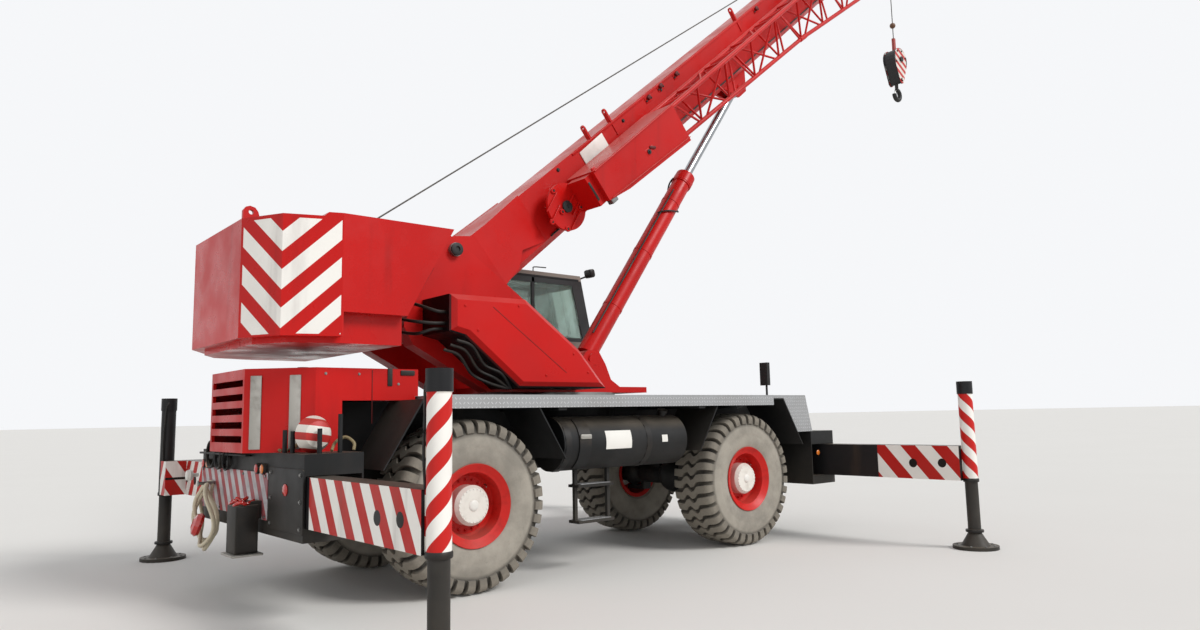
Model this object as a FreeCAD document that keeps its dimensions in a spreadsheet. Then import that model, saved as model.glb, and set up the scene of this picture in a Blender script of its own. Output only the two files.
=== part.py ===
import FreeCAD, Part
import math
import os
import re
import Sketcher
from FreeCAD import Placement, Rotation, Vector

# A two-axle rough-terrain crane with a telescopic boom, at full size in millimetres.
# Every size below is measured from the slew axis: X forward, Y to the left, Z up from the ground.
# The finished nodes are moved along X so that the origin lies under the middle of the whole crane.

doc = FreeCAD.newDocument("mobile_crane")

# Columns: name, value, what it is.
SIZES = [
    ("clearance", 6, "least gap kept between pieces that move past each other"),
    ("seat", 0.3, "gap between a piece and the seat it rests on"),
    ("running", 0.08, "gap all round a pin or rod in its bore"),
    ("axle_x", 2050, "slew axis to each axle"),
    ("axle_z", 840, "height of the axles"),
    ("tyre_radius", 835, "outer radius of a tyre"),
    ("tyre_width", 600, "width of a tyre"),
    ("wheel_y", 1030, "middle of a wheel from the centre line"),
    ("rim_radius", 400, "outer radius of a rim's flange"),
    ("rim_bore", 300, "inner radius of a rim's barrel"),
    ("rim_wall", 22, "thickness of a rim's barrel"),
    ("hub_radius", 195, "radius of a hub's cap"),
    ("hub_face", 60, "how far a hub's cap stays inside the tyre's outer face"),
    ("kingpin_y", 850, "kingpin from the centre line"),
    ("axle_tube", 130, "radius of an axle's tube"),
    ("axle_bowl", 240, "radius of an axle's middle"),
    ("knuckle_radius", 165, "radius of a knuckle's ball"),
    ("frame_half", 350, "half width of the chassis frame"),
    ("frame_low", 1090, "underside of the chassis frame"),
    ("deck_top", 1905, "top of the deck"),
    ("deck_plate", 40, "thickness of the deck's plate"),
    ("deck_strip", 130, "height of the deck's edge strip"),
    ("deck_half", 1450, "half width of the deck"),
    ("platform_end", 3330, "front end of the platform ahead of the front wheels"),
    ("deck_rear", 2480, "deck's rear end behind the slew axis"),
    ("deck_front", 2450, "deck's front end"),
    ("edge_wall", 20, "thickness of the edge strip"),
    ("cross_depth", 120, "depth of the frame's cross arms"),
    ("cross_width", 110, "width of the frame's cross arms"),
    ("ring_radius", 700, "outer radius of the turntable bearing"),
    ("ring_bore", 520, "inner radius of the turntable bearing"),
    ("ring_top", 1962, "top of the turntable bearing"),
    ("box_half", 1430, "half width of an outrigger box"),
    ("box_low", 690, "underside of an outrigger box"),
    ("box_top", 1410, "top of an outrigger box"),
    ("box_far", 3780, "outer face of an outrigger box from the slew axis"),
    ("box_near", 3260, "inner face of an outrigger box from the slew axis"),
    ("beam_width", 230, "width of an outrigger beam"),
    ("beam_pitch", 250, "distance between the two beams of one box"),
    ("beam_low", 808, "underside of an outrigger beam"),
    ("beam_top", 1225, "top of an outrigger beam"),
    ("beam_wall", 16, "plate thickness of an outrigger beam"),
    ("beam_x", 3645, "right-hand beams from the slew axis"),
    ("jack_x", 3665, "jacks from the slew axis"),
    ("jack_y", 3430, "jacks from the centre line, beams run out"),
    ("beam_stroke", 1850, "travel of an outrigger beam"),
    ("beam_grip", 574, "length of a beam left inside its box, run out"),
    ("jack_tube", 84, "outer radius of a jack's tube"),
    ("jack_rod", 74, "radius of a jack's rod"),
    ("jack_top", 2010, "top of a jack"),
    ("jack_low", 790, "lower end of a jack's tube"),
    ("jack_cap", 155, "height of a jack's cap"),
    ("jack_lift", 330, "travel of a jack above the ground"),
    ("pad_radius", 260, "radius of a jack's foot"),
    ("pad_thick", 40, "thickness of a jack's foot"),
    ("hood_rear", 3980, "rear face of the engine hood behind the slew axis"),
    ("hood_front", 2490, "front face of the engine hood"),
    ("hood_half", 960, "half width of the engine hood"),
    ("hood_rear_half", 490, "half width of the hood's louvred rear face"),
    ("hood_top", 2165, "top of the engine hood"),
    ("hood_wall", 30, "wall of the engine hood"),
    ("louvre_height", 62, "height of a louvre slot"),
    ("tank_radius", 290, "radius of the fuel tank"),
    ("tank_rear", 1000, "rear end of the tanks behind the slew axis"),
    ("tank_front", 860, "front end of the tanks ahead of the slew axis"),
    ("tank_y", 1080, "middle of the tanks from the centre line"),
    ("tank_z", 1385, "middle height of the tanks"),
    ("arch_foot", 1030, "half length of a wheel arch at its foot"),
    ("arch_head", 640, "half length of a wheel arch at its top"),
    ("arch_low", 1240, "foot of a wheel arch"),
    ("arch_wall", 14, "thickness of a wheel arch"),
    ("arch_inner", 760, "inner edge of a wheel arch from the centre line"),
    ("base_thick", 70, "thickness of the turret's base plate"),
    ("base_half", 600, "half width of the turret's base plate"),
    ("cheek_inner", 395, "inner face of a turret cheek from the centre line"),
    ("cheek_outer", 600, "outer face of a turret cheek"),
    ("foot_x", -1870, "boom foot pin from the slew axis"),
    ("foot_z", 3490, "height of the boom foot pin"),
    ("foot_pin", 75, "radius of the boom foot pin"),
    ("lift_x", 400, "foot pin of the lift cylinder from the slew axis"),
    ("lift_z", 2400, "height of the lift cylinder's foot pin"),
    ("lift_pin", 55, "radius of the lift cylinder's pins"),
    ("lift_eye", 120, "radius of the lift cylinder's eyes"),
    ("foot_eye_half", 150, "half width of the lift cylinder's foot eye"),
    ("rod_eye_half", 85, "half width of the lift cylinder's rod eye"),
    ("lift_barrel", 135, "outer radius of the lift cylinder's barrel"),
    ("lift_bore", 112, "bore radius of the lift cylinder's barrel"),
    ("lift_rod", 68, "radius of the lift cylinder's rod"),
    ("barrel_length", 3480, "lift cylinder's foot pin to its gland"),
    ("gland_length", 190, "length of the lift cylinder's gland"),
    ("rod_length", 3750, "lift cylinder's rod eye to its piston's face"),
    ("piston_length", 200, "length of the lift cylinder's piston"),
    ("tail_rear", 4120, "rear face of the counterweight behind the slew axis"),
    ("tail_rear_half", 720, "half width of the counterweight's rear face"),
    ("tail_knee_x", 3900, "knee between the counterweight's two rear facets"),
    ("tail_knee_half", 1130, "half width at that knee"),
    ("tail_side_x", 3420, "where the counterweight's sides begin"),
    ("tail_half", 1300, "half width of the counterweight"),
    ("tail_front", 2785, "front end of the counterweight's sides at their foot"),
    ("tail_front_top", 2287, "front end of the counterweight's sides at their top"),
    ("tail_top", 3530, "top of the counterweight"),
    ("tail_step_x", 3540, "step in the counterweight's top behind the slew axis"),
    ("tail_step", 36, "how much lower its top is behind that step"),
    ("tail_skirt", 2640, "lower edge of the counterweight's sides"),
    ("tail_corner_low", 2420, "lower edge of its rear corners"),
    ("tail_low", 2370, "underside of the counterweight"),
    ("bay_rear", 3260, "rear wall of the hoists' bay behind the slew axis"),
    ("bay_floor", 2800, "floor of the hoists' bay"),
    ("drum_rise", 700, "middle of the main hoist drum above the bay's floor"),
    ("drum_radius", 270, "flange radius of a hoist drum"),
    ("drum_core", 190, "rope layer radius of a hoist drum"),
    ("drum_half", 300, "half length of a hoist drum"),
    ("cover_outer", 1200, "outer face of the valve housing"),
    ("cover_bevel", 60, "bevel round the valve housing's outer face"),
    ("cab_right", 640, "inner side of the cab from the centre line"),
    ("cab_left", 1430, "outer side of the cab"),
    ("cab_rear", 760, "rear of the cab behind the slew axis"),
    ("cab_front", 1080, "front of the cab's floor"),
    ("cab_roof_front", 900, "front of the cab's roof"),
    ("cab_floor", 1985, "underside of the cab"),
    ("cab_top", 3640, "top of the cab's roof"),
    ("cab_wall", 50, "wall of the cab"),
    ("hinge_radius", 12, "radius of a door hinge's knuckle"),
    ("cab_sill", 2760, "lower edge of the cab's windows"),
    ("boom_angle", 40, "boom above the horizontal, in degrees"),
    ("boom_length", 13470, "boom foot pin to the head sheaves"),
    ("base_end", 9900, "front end of the boom's base section"),
    ("base_depth", 740, "depth of the boom's base section"),
    ("base_width", 440, "width of the boom's base section"),
    ("boom_top", -60, "top of the base section above its foot pin"),
    ("flat_half", 120, "half width of the base section's flat underside"),
    ("flat_step", 20, "how much narrower that underside is on each next section"),
    ("bevel_rise", 90, "height of the bevels beside the underside"),
    ("bevel_step", 12, "how much lower the bevels are on each next section"),
    ("tube_start", 620, "rear end of the base section's tube from the foot pin"),
    ("taper_start", 450, "where the foot's side plates start to draw in"),
    ("taper_end", 1400, "where the foot's side plates end on the tube"),
    ("foot_plate", 40, "thickness of the foot's side plates"),
    ("foot_boss", 150, "radius of the boss round the boom foot pin"),
    ("section_wall", 10, "plate thickness of the boom sections"),
    ("section_step", 24, "gap from one section's wall to the next section"),
    ("section_out", 900, "how far each section stands out"),
    ("section_collar", 190, "length of a section's front collar"),
    ("section_length", 9200, "length of an inner section"),
    ("rope_radius", 9, "radius of the hoist rope"),
    ("head_sheave", 170, "radius of the boom head's sheaves"),
    ("head_drop", 330, "boom head's sheaves below the foot pin's line"),
    ("sheave_width", 32, "thickness of a sheave"),
    ("sheave_pitch", 46, "distance between the sheaves of the head"),
    ("nose_back", 330, "top sheave of the head behind the lower ones"),
    ("nose_drop", 200, "top sheave of the head below the foot pin's line"),
    ("eye_u", 6400, "lift cylinder's eye along the boom"),
    ("eye_v", -970, "lift cylinder's eye below the foot pin's line"),
    ("jib_y", 580, "middle of the stowed jib from the boom's centre line"),
    ("jib_half", 220, "upper chords of the jib from its middle"),
    ("jib_top", -310, "upper chords of the jib below the foot pin's line"),
    ("jib_low", -790, "lower chord of the jib at the end of the solid tip"),
    ("jib_plate_u", 1800, "middle of the jib's hinge plate along the boom"),
    ("jib_plate_v", -500, "middle of the jib's hinge plate below the foot pin's line"),
    ("jib_plate", 300, "radius of the jib's hinge plate"),
    ("jib_plate_y", 430, "outer face of the jib's hinge plate"),
    ("jib_box_start", 2100, "start of the jib's solid tip along the boom"),
    ("jib_box_end", 3950, "end of the jib's solid tip"),
    ("jib_end", 11150, "end of the stowed jib"),
    ("jib_chord", 34, "radius of a jib chord"),
    ("jib_lace", 17, "radius of a jib diagonal"),
    ("hook_drop", 3120, "boom head's sheaves to the hook block's middle"),
    ("block_radius", 240, "radius of the hook block's cheeks"),
    ("block_half", 130, "half width of the hook block"),
    ("block_toe", 80, "radius of the hook block's lower end"),
    ("block_reach", 430, "hook block's middle to the middle of its lower end"),
    ("cheek_plate", 24, "thickness of the hook block's cheeks"),
    ("core_inset", 14, "how far the hook block's core stays inside its cheeks"),
    ("hook_reach", 105, "radius of the hook's bend"),
    ("hook_below", 720, "hook block's middle to the middle of the hook's bend"),
    ("weight_rise", 770, "hook block's middle to the weight on its rope"),
    ("weight_radius", 58, "radius of that weight"),
    ("hook_bar", 42, "radius of the hook's bar at its thickest"),
    ("ball_radius", 160, "radius of the overhaul ball"),
]

sheet = doc.addObject("Spreadsheet::Sheet", "sizes")
for row, (alias, value, meaning) in enumerate(SIZES, start=1):
    sheet.set(f"A{row}", alias)
    sheet.set(f"B{row}", str(value))
    sheet.set(f"C{row}", meaning)
    sheet.setAlias(f"B{row}", alias)
doc.recompute()

ALIASES = {alias for alias, value, meaning in SIZES}
NODES = []

# The rope leaves the head's sheaves at their front, and the hook hangs plumb below.
HOOK_X = ("(foot_x + boom_length * cos(boom_angle) + head_drop * sin(boom_angle)"
          " + head_sheave + rope_radius + seat)")
HEAD_Z = "(foot_z + boom_length * sin(boom_angle) - head_drop * cos(boom_angle))"
# The lift cylinder's foot eye is at least as wide as its barrel, and the turret's brackets clear both.
FOOT_HALF = "max(foot_eye_half; lift_barrel + 15)"
# The hook block and the counterweight end the crane at rest, so the origin lies midway.
ORIGIN = f"(({HOOK_X} + block_radius - tail_rear) / 2)"


def bound(formula):
    """The formula with every size in it read from the sheet."""
    return re.sub(r"[a-z_]+", lambda m: "sizes." + m[0] if m[0] in ALIASES else m[0], str(formula))


def number(formula):
    """The formula's present value."""
    return float(sheet.evalExpression(bound(formula)))


def bind(item, **formulas):
    """Ties an object's properties to formulas on the sheet; x, y and z are its place."""
    for name, formula in formulas.items():
        target = f"Placement.Base.{name}" if name in ("x", "y", "z") else name
        item.setExpression(target, bound(formula))
    return item


def box(name, x, y, z):
    """A block between low and high formulas on each axis."""
    item = doc.addObject("Part::Box", name)
    bind(item, Length=f"{x[1]} - ({x[0]})", Width=f"{y[1]} - ({y[0]})", Height=f"{z[1]} - ({z[0]})")
    return bind(item, x=x[0], y=y[0], z=z[0])


TURNS = {
    "x": Rotation(Vector(0, 1, 0), 90),
    "y": Rotation(Vector(1, 0, 0), -90),
    "z": Rotation(),
}


def rod(name, axis, radius, start, end, across):
    """A round bar along one axis from start to end; across is its place on the other two axes."""
    item = doc.addObject("Part::Cylinder", name)
    item.Placement = Placement(Vector(), TURNS[axis])
    bind(item, Radius=radius, Height=f"{end} - ({start})")
    spots = dict(zip([a for a in "xyz" if a != axis], across))
    spots[axis] = start
    return bind(item, **spots)


PLANES = {"xy": ("XY_Plane", 1), "xz": ("XZ_Plane", -1), "yz": ("YZ_Plane", 1)}


def draw(body, plane, outlines, circles, offset):
    """A sketch on one of the body's own planes, each corner tied to a pair of formulas."""
    sketch = body.newObject("Sketcher::SketchObject", body.Name + "_sketch")
    role = PLANES[plane][0]
    sketch.AttachmentSupport = [(next(f for f in body.Origin.OriginFeatures if f.Role == role), "")]
    sketch.MapMode = "FlatFace"
    sketch.setExpression("AttachmentOffset.Base.z", bound(offset))
    for corners in outlines:
        spots = [Vector(number(a), number(b), 0) for a, b in corners]
        first = sketch.GeometryCount
        count = len(spots)
        for k in range(count):
            sketch.addGeometry(Part.LineSegment(spots[k], spots[(k + 1) % count]), False)
        for k in range(count):
            joined = ("Coincident", first + k, 2, first + (k + 1) % count, 1)
            sketch.addConstraint(Sketcher.Constraint(*joined))
        for k, corner in enumerate(corners):
            for kind, spot, formula in zip(("DistanceX", "DistanceY"), spots[k], corner):
                made = sketch.addConstraint(Sketcher.Constraint(kind, -1, 1, first + k, 1, spot))
                sketch.setExpression(f"Constraints[{made}]", bound(formula))
    for a, b, radius in circles:
        centre = Vector(number(a), number(b), 0)
        ring = sketch.addGeometry(Part.Circle(centre, Vector(0, 0, 1), number(radius)), False)
        made = sketch.addConstraint(Sketcher.Constraint("DistanceX", -1, 1, ring, 3, centre.x))
        sketch.setExpression(f"Constraints[{made}]", bound(a))
        made = sketch.addConstraint(Sketcher.Constraint("DistanceY", -1, 1, ring, 3, centre.y))
        sketch.setExpression(f"Constraints[{made}]", bound(b))
        made = sketch.addConstraint(Sketcher.Constraint("Radius", ring, number(radius)))
        sketch.setExpression(f"Constraints[{made}]", bound(radius))
    return sketch


def prism(name, plane, low, high, outlines, circles=()):
    """A body padded from one or more outlines between two heights on the plane's own axis."""
    body = doc.addObject("PartDesign::Body", name)
    offset = low if PLANES[plane][1] > 0 else f"-({high})"
    pad = body.newObject("PartDesign::Pad", name + "_pad")
    pad.Profile = draw(body, plane, outlines, circles, offset)
    bind(pad, Length=f"{high} - ({low})")
    return body


def turned(name, corners):
    """A body turned about the Y axis from an outline of (radius, y) corners."""
    body = doc.addObject("PartDesign::Body", name)
    sketch = draw(body, "xy", [corners], [], 0)
    solid = body.newObject("PartDesign::Revolution", name + "_turn")
    solid.Profile = sketch
    solid.ReferenceAxis = (sketch, ["V_Axis"])
    solid.Angle = 360
    return body


def fuse(name, *pieces):
    """The pieces joined into one."""
    item = doc.addObject("Part::MultiFuse", name)
    item.Shapes = list(pieces)
    return item


def cut(name, base, *tools):
    """The base with the tools taken away."""
    item = doc.addObject("Part::Cut", name)
    item.Base = base
    item.Tool = tools[0] if len(tools) == 1 else group(name + "_tools", *tools)
    return item


def group(name, *pieces):
    """Pieces that share one object."""
    item = doc.addObject("Part::Compound", name)
    item.Links = list(pieces)
    return item


def mirrored(name, source, normal=(0, 1, 0)):
    """The source on the other side of the centre line."""
    item = doc.addObject("Part::Mirroring", name)
    item.Source = source
    item.Normal = normal
    return item


def node(name, item, frame="level", x="0", y="0", z="0"):
    """Names a finished sub-part and puts it in its place: level, or on the raised boom."""
    item.Label = name + "_shape"
    holder = group(name, item)
    if frame == "boom":
        holder.Placement = Placement(Vector(), Rotation(Vector(0, -1, 0), number("boom_angle")))
        bind(holder, x=f"foot_x - {ORIGIN}", z="foot_z")
        holder.setExpression("Placement.Rotation.Angle", bound("boom_angle"))
    else:
        bind(holder, x=f"{x} - {ORIGIN}", y=y, z=z)
    holder.Label = name
    NODES.append(holder)
    return holder


def chassis_frame():
    """Two deep rails, cross arms for the deck and tanks, and the turntable's pedestal."""
    top = "deck_top - deck_plate"
    rails = []
    for side, low, high in (("left", "frame_half - 120", "frame_half"),
                            ("right", "-frame_half", "120 - frame_half")):
        rails.append(box(f"rail_{side}", ("-box_near", "box_near"), (low, high), ("frame_low", top)))
    arms = []
    # Columns: rear edge of the arm, its half length.
    for place, half in (("-deck_rear + 60", "arch_inner - clearance"),
                        ("-axle_x + arch_foot - 100", "deck_half - edge_wall - seat"),
                        ("axle_x - arch_foot", "deck_half - edge_wall - seat"),
                        ("deck_front - 170", "arch_inner - clearance")):
        arms.append(box(f"cross_arm_{len(arms)}", (place, f"{place} + cross_width"), (f"-({half})", half),
                        (f"{top} - cross_depth", top)))
    for place in ("-tank_rear + 250", "tank_front - 640"):
        arms.append(box(f"tank_arm_{len(arms)}", (place, f"{place} + cross_width"),
                        ("tank_radius + seat - tank_y", "tank_y - tank_radius - seat"),
                        ("tank_z - 60", "tank_z + 60")))
    belly = box("belly_plate", ("-box_near", "box_near"), ("-frame_half", "frame_half"),
                ("frame_low", "frame_low + 30"))
    pedestal = rod("pedestal", "z", "ring_radius - 20", "frame_low", "deck_top", ("0", "0"))
    frame = fuse("frame_fused", *rails, *arms, belly, pedestal)
    well = rod("pedestal_well", "z", "ring_bore", "frame_low + 200", "deck_top + 1", ("0", "0"))
    node("chassis_frame", cut("chassis_frame", frame, well))


def outrigger_boxes():
    """Each box is a rectangular tunnel across the frame for two beams side by side."""
    for name, sign, start, end in (("rear_outrigger_box", "-", "-box_far", "-box_near"),
                                   ("front_outrigger_box", "", "box_near", "box_far")):
        block = box(name + "_block", (start, end), ("-box_half", "box_half"), ("box_low", "box_top"))
        middle = f"{sign}(beam_x - beam_pitch / 2)"
        half = "((beam_pitch + beam_width) / 2 + clearance)"
        bore = box(name + "_bore", (f"{middle} - {half}", f"{middle} + {half}"),
                   ("-box_half - 1", "box_half + 1"),
                   ("beam_low - seat", "beam_top + clearance"))
        node(name, cut(name + "_cut", block, bore))


def deck():
    """The deck's plate with its edge strips and the hole for the turntable."""
    plate = box("deck_sheet", ("-deck_rear", "deck_front"), ("-deck_half", "deck_half"),
                ("deck_top - deck_plate", "deck_top"))
    strips = []
    for side, low, high in (("left", "deck_half - edge_wall", "deck_half"),
                            ("right", "-deck_half", "edge_wall - deck_half")):
        strips.append(box(f"strip_{side}", ("-deck_rear", "deck_front"), (low, high),
                          ("deck_top - deck_strip", "deck_top")))
    hole = rod("deck_hole", "z", "ring_radius + 10", "deck_top - deck_strip", "deck_top + 1", ("0", "0"))
    node("deck", cut("deck", fuse("deck_fused", plate, *strips), hole))


def turntable_ring():
    """The slewing bearing between deck and turret."""
    outer = rod("ring_outer", "z", "ring_radius", "deck_top", "ring_top", ("0", "0"))
    inner = rod("ring_inner", "z", "ring_bore", "deck_top - 1", "ring_top + 1", ("0", "0"))
    node("turntable_ring", cut("turntable_ring", outer, inner))


def engine_hood():
    """A hollow hood whose rear corners are cut off and whose rear face is louvred."""
    def plan(wall):
        return [(f"-hood_rear + {wall}", "-hood_rear_half"), (f"-hood_rear + {wall}", "hood_rear_half"),
                (f"-hood_rear + hood_half - hood_rear_half + {wall} * 0.4", f"hood_half - {wall}"),
                (f"-hood_front - {wall}", f"hood_half - {wall}"),
                (f"-hood_front - {wall}", f"{wall} - hood_half"),
                (f"-hood_rear + hood_half - hood_rear_half + {wall} * 0.4", f"{wall} - hood_half")]
    outer = prism("hood_outer", "xy", "box_top", "hood_top", [plan("0")])
    inner = prism("hood_inner", "xy", "box_top - 1", "hood_top - hood_wall", [plan("hood_wall")])
    slots = []
    for k in range(5):
        low = f"hood_top - 95 - {k} * 2.05 * louvre_height"
        slots.append(box(f"louvre_{k}", ("-hood_rear - 1", "-hood_rear + hood_wall + 1"),
                         ("40 - hood_rear_half", "hood_rear_half - 40"), (f"{low} - louvre_height", low)))
    deck_cut = box("hood_over_deck", ("-hood_front - hood_wall - 1", "-hood_front + 200"),
                   ("-hood_half - 1", "hood_half + 1"),
                   ("box_top - 2", "deck_top"))
    wheel_cuts = [box(f"hood_over_wheel_{s}", ("-box_near", "-hood_front + 200"), y,
                      ("box_top - 2", "deck_top - deck_plate"))
                  for s, y in (("left", ("frame_half + 130", "hood_half + 1")),
                               ("right", ("-hood_half - 1", "-frame_half - 130")))]
    node("engine_hood", cut("engine_hood", outer, inner, *slots, deck_cut, *wheel_cuts))


def engine_block():
    """The engine and its gearbox as one block inside the hood."""
    node("engine_block", box("engine_block", ("-hood_rear + 260", "-deck_rear - 150"),
                             ("130 - frame_half", "frame_half - 130"),
                             ("box_top + seat", "hood_top - 150")))


def fenders():
    """Black plate arches over the four wheels."""
    def arch(name, x):
        def half(wall):
            return [(f"{x} - arch_foot + {wall}", "arch_low"),
                    (f"{x} - arch_head + {wall} * 0.8", f"deck_top - deck_plate - seat - {wall}"),
                    (f"{x} + arch_head - {wall} * 0.8", f"deck_top - deck_plate - seat - {wall}"),
                    (f"{x} + arch_foot - {wall}", "arch_low")]
        corners = half("0") + list(reversed(half("arch_wall")))
        return prism(name, "xz", "arch_inner", "deck_half - edge_wall - seat", [corners])
    left = [arch("arch_rear", "-axle_x"), arch("arch_front", "axle_x")]
    node("fenders", group("fenders", *left, *[mirrored(a.Name + "_right", a) for a in left]))


def tanks():
    """A round fuel tank on the right, a square hydraulic tank on the left, and a step under each."""
    node("fuel_tank", rod("fuel_tank", "x", "tank_radius", "-tank_rear", "tank_front",
                          ("-tank_y", "tank_z")))
    node("hydraulic_tank", box("hydraulic_tank", ("-tank_rear", "tank_front - 300"),
                               ("tank_y - tank_radius", "tank_y + tank_radius"),
                               ("tank_z - tank_radius", "tank_z + tank_radius")))
    steps = []
    for side in (-1, 1):
        outer = f"{side} * tank_y"
        rails = [box(f"step_rail_{side}_{x}", (f"{x}", f"{x} + 40"), (f"{outer} - 20", f"{outer} + 20"),
                     ("520", "tank_z - tank_radius - seat"))
                 for x in (-660, -190)]
        treads = [box(f"step_tread_{side}_{z}", ("-660", "-150"), (f"{outer} - 90", f"{outer} + 90"),
                      (f"{z}", f"{z} + 30")) for z in (520, 905)]
        steps.append(fuse(f"side_step_{side}", *rails, *treads))
    node("side_steps", group("side_steps", *steps))


def front_platform():
    """The platform ahead of the front wheels: side boxes cut to the arches, and a tread plate between."""
    low = "deck_top - deck_plate + seat"
    corners = [("deck_front + seat", "deck_top"), ("platform_end - 130", "deck_top"),
               ("platform_end", "box_top + seat"),
               ("axle_x + arch_foot - 90", "box_top + seat"), ("axle_x + arch_head + 20", low),
               ("deck_front + seat", low)]
    side = prism("platform_side", "xz", "frame_half + 200", "deck_half - 40", [corners])
    tread = box("platform_tread", ("deck_front + seat", "platform_end - 130"),
                ("-frame_half - 201", "frame_half + 201"), (low, "deck_top"))
    node("front_platform", fuse("platform_fused", side, mirrored("platform_side_right", side), tread))


def axles():
    """Tubular axle housings with a bowl in the middle and yokes for the kingpins."""
    for name, x in (("rear_axle", "-axle_x"), ("front_axle", "axle_x")):
        tube = rod(name + "_tube", "y", "axle_tube", "-kingpin_y + knuckle_radius + 60",
                   "kingpin_y - knuckle_radius - 60", (x, "axle_z"))
        bowl = doc.addObject("Part::Sphere", name + "_bowl")
        bind(bowl, Radius="axle_bowl", x=x, z="axle_z")
        links = []
        for side in (-1, 1):
            for lift in (-1, 1):
                z = f"axle_z + {lift} * (knuckle_radius + 35)"
                links.append(box(name + "_arm", (f"{x} - 70", f"{x} + 70"),
                                 (f"{side} * kingpin_y - 70 - {max(0, side)} * 160",
                                  f"{side} * kingpin_y + 70 + {max(0, -side)} * 160"),
                                 (f"{z} - 27", f"{z} + 27")))
            y = f"{side} * (kingpin_y - knuckle_radius - 75)"
            links.append(box(name + "_web", (f"{x} - 70", f"{x} + 70"), (f"{y} - 30", f"{y} + 30"),
                             ("axle_z - knuckle_radius - 62", "axle_z + knuckle_radius + 62")))
        mounts = [box(name + "_saddle", (f"{x} - 90", f"{x} + 90"),
                      (f"{s} * (frame_half - 60) - 60", f"{s} * (frame_half - 60) + 60"),
                      ("axle_z + 60", "frame_low - seat")) for s in (-1, 1)]
        node(name, fuse(name, tube, bowl, *links, *mounts))


def rear_rack():
    """Stakes round the corner platform and the spare overhaul ball behind them."""
    spots = [("-box_far + 50", "-840"), ("-box_far + 60", "-1000"),
             ("-box_far + 150", "60 - box_half"), ("-box_far + 330", "60 - box_half")]
    heights = (200, 190, 210, 330)
    stakes = []
    for k, ((x, y), height) in enumerate(zip(spots, heights)):
        stakes.append(rod(f"stake_{k}", "z", "16 + 4 * clearance / 6", "box_top + seat",
                          f"box_top + {height}", (x, y)))
    node("rear_stakes", group("rear_stakes", *stakes))
    ball = turned("ball_shell", [("0", "-ball_radius"), ("ball_radius * 0.7", "-ball_radius * 0.71"),
                                 ("ball_radius", "0"),
                                 ("ball_radius * 0.7", "ball_radius * 0.71"), ("36", "ball_radius"),
                                 ("30", "ball_radius + 100"), ("0", "ball_radius + 100")])
    node("overhaul_ball", ball, x="-box_far + 170", y="-1180", z="box_top + ball_radius + seat")


def lamps_and_mirror():
    """A mirror on a bracket at the front corner, and the lamp boxes."""
    stem = rod("mirror_stem", "z", "14", "deck_top + seat", "deck_top + 330",
               ("deck_front - 60", "60 - deck_half"))
    glass = box("mirror_case", ("deck_front - 90", "deck_front - 30"),
                ("-60 - deck_half + 80", "80 - deck_half + 60"), ("deck_top + 130", "deck_top + 430"))
    lamps = [box(f"lamp_{side}", ("box_far + seat", "box_far + 90"),
                 (f"{side} * 1000 - 130", f"{side} * 1000 + 130"), ("box_top - 330", "box_top - 150"))
             for side in (-1, 1)]
    node("mirror", fuse("mirror", stem, glass))
    node("headlamps", group("headlamps", *lamps))


def turret_frame():
    """The turret: base plate, two cheeks with the boom's foot bores, and the cylinder's bracket."""
    under = "ring_top"
    over = "ring_top + base_thick"
    plate = box("turret_plate", ("-1250", "950"), ("-base_half", "cab_right - seat"), (under, over))
    profile = [("foot_x - 130", "foot_z + 190"), ("foot_x + 60", "foot_z + 100"), ("-1010", "3050"),
               ("-350", "2560"),
               ("330", "2130"), ("560", "1990"), ("560", "ring_top + 1"), ("-1450", "ring_top + 1"),
               ("-2350", "2440"),
               ("-2460", "2620"), ("-2460", "bay_floor + seat"), ("seat - bay_rear", "bay_floor + seat"),
               ("seat - bay_rear", "bay_floor + 420"), ("-2860", "bay_floor + drum_rise + 90"),
               ("-2540", "bay_floor + drum_rise + 90"),
               ("foot_x - 190", "foot_z - 60")]
    cheek = prism("cheek_left", "xz", "cheek_inner", "cheek_outer", [profile],
                  [("foot_x", "foot_z", "foot_pin")])
    brackets = []
    for side in (-1, 1):
        near = f"{side} * ({FOOT_HALF} + 8 + 22)"
        corners = [("lift_x - 700", over), ("lift_x + 350", over), ("lift_x + 210", "lift_z - 60"),
                   ("lift_x + 95", "lift_z + 110"), ("lift_x - 95", "lift_z + 110"),
                   ("lift_x - 240", "lift_z - 60")]
        brackets.append(prism(f"lift_bracket_{side}", "xz", f"{near} - 22", f"{near} + 22", [corners]))
        brackets.append(rod(f"lift_pin_head_{side}", "y", "lift_pin + 20",
                            f"{side} * ({FOOT_HALF} + 52) - 20",
                            f"{side} * ({FOOT_HALF} + 52) + 20", ("lift_x", "lift_z")))
    wall = box("turret_cross_wall", ("-2340", "-2290"), ("-cheek_inner - 1", "cheek_inner + 1"),
               ("2480", "2790"))
    node("turret_frame", fuse("turret_frame", plate, cheek, mirrored("cheek_right", cheek), *brackets,
                              wall))


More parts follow.
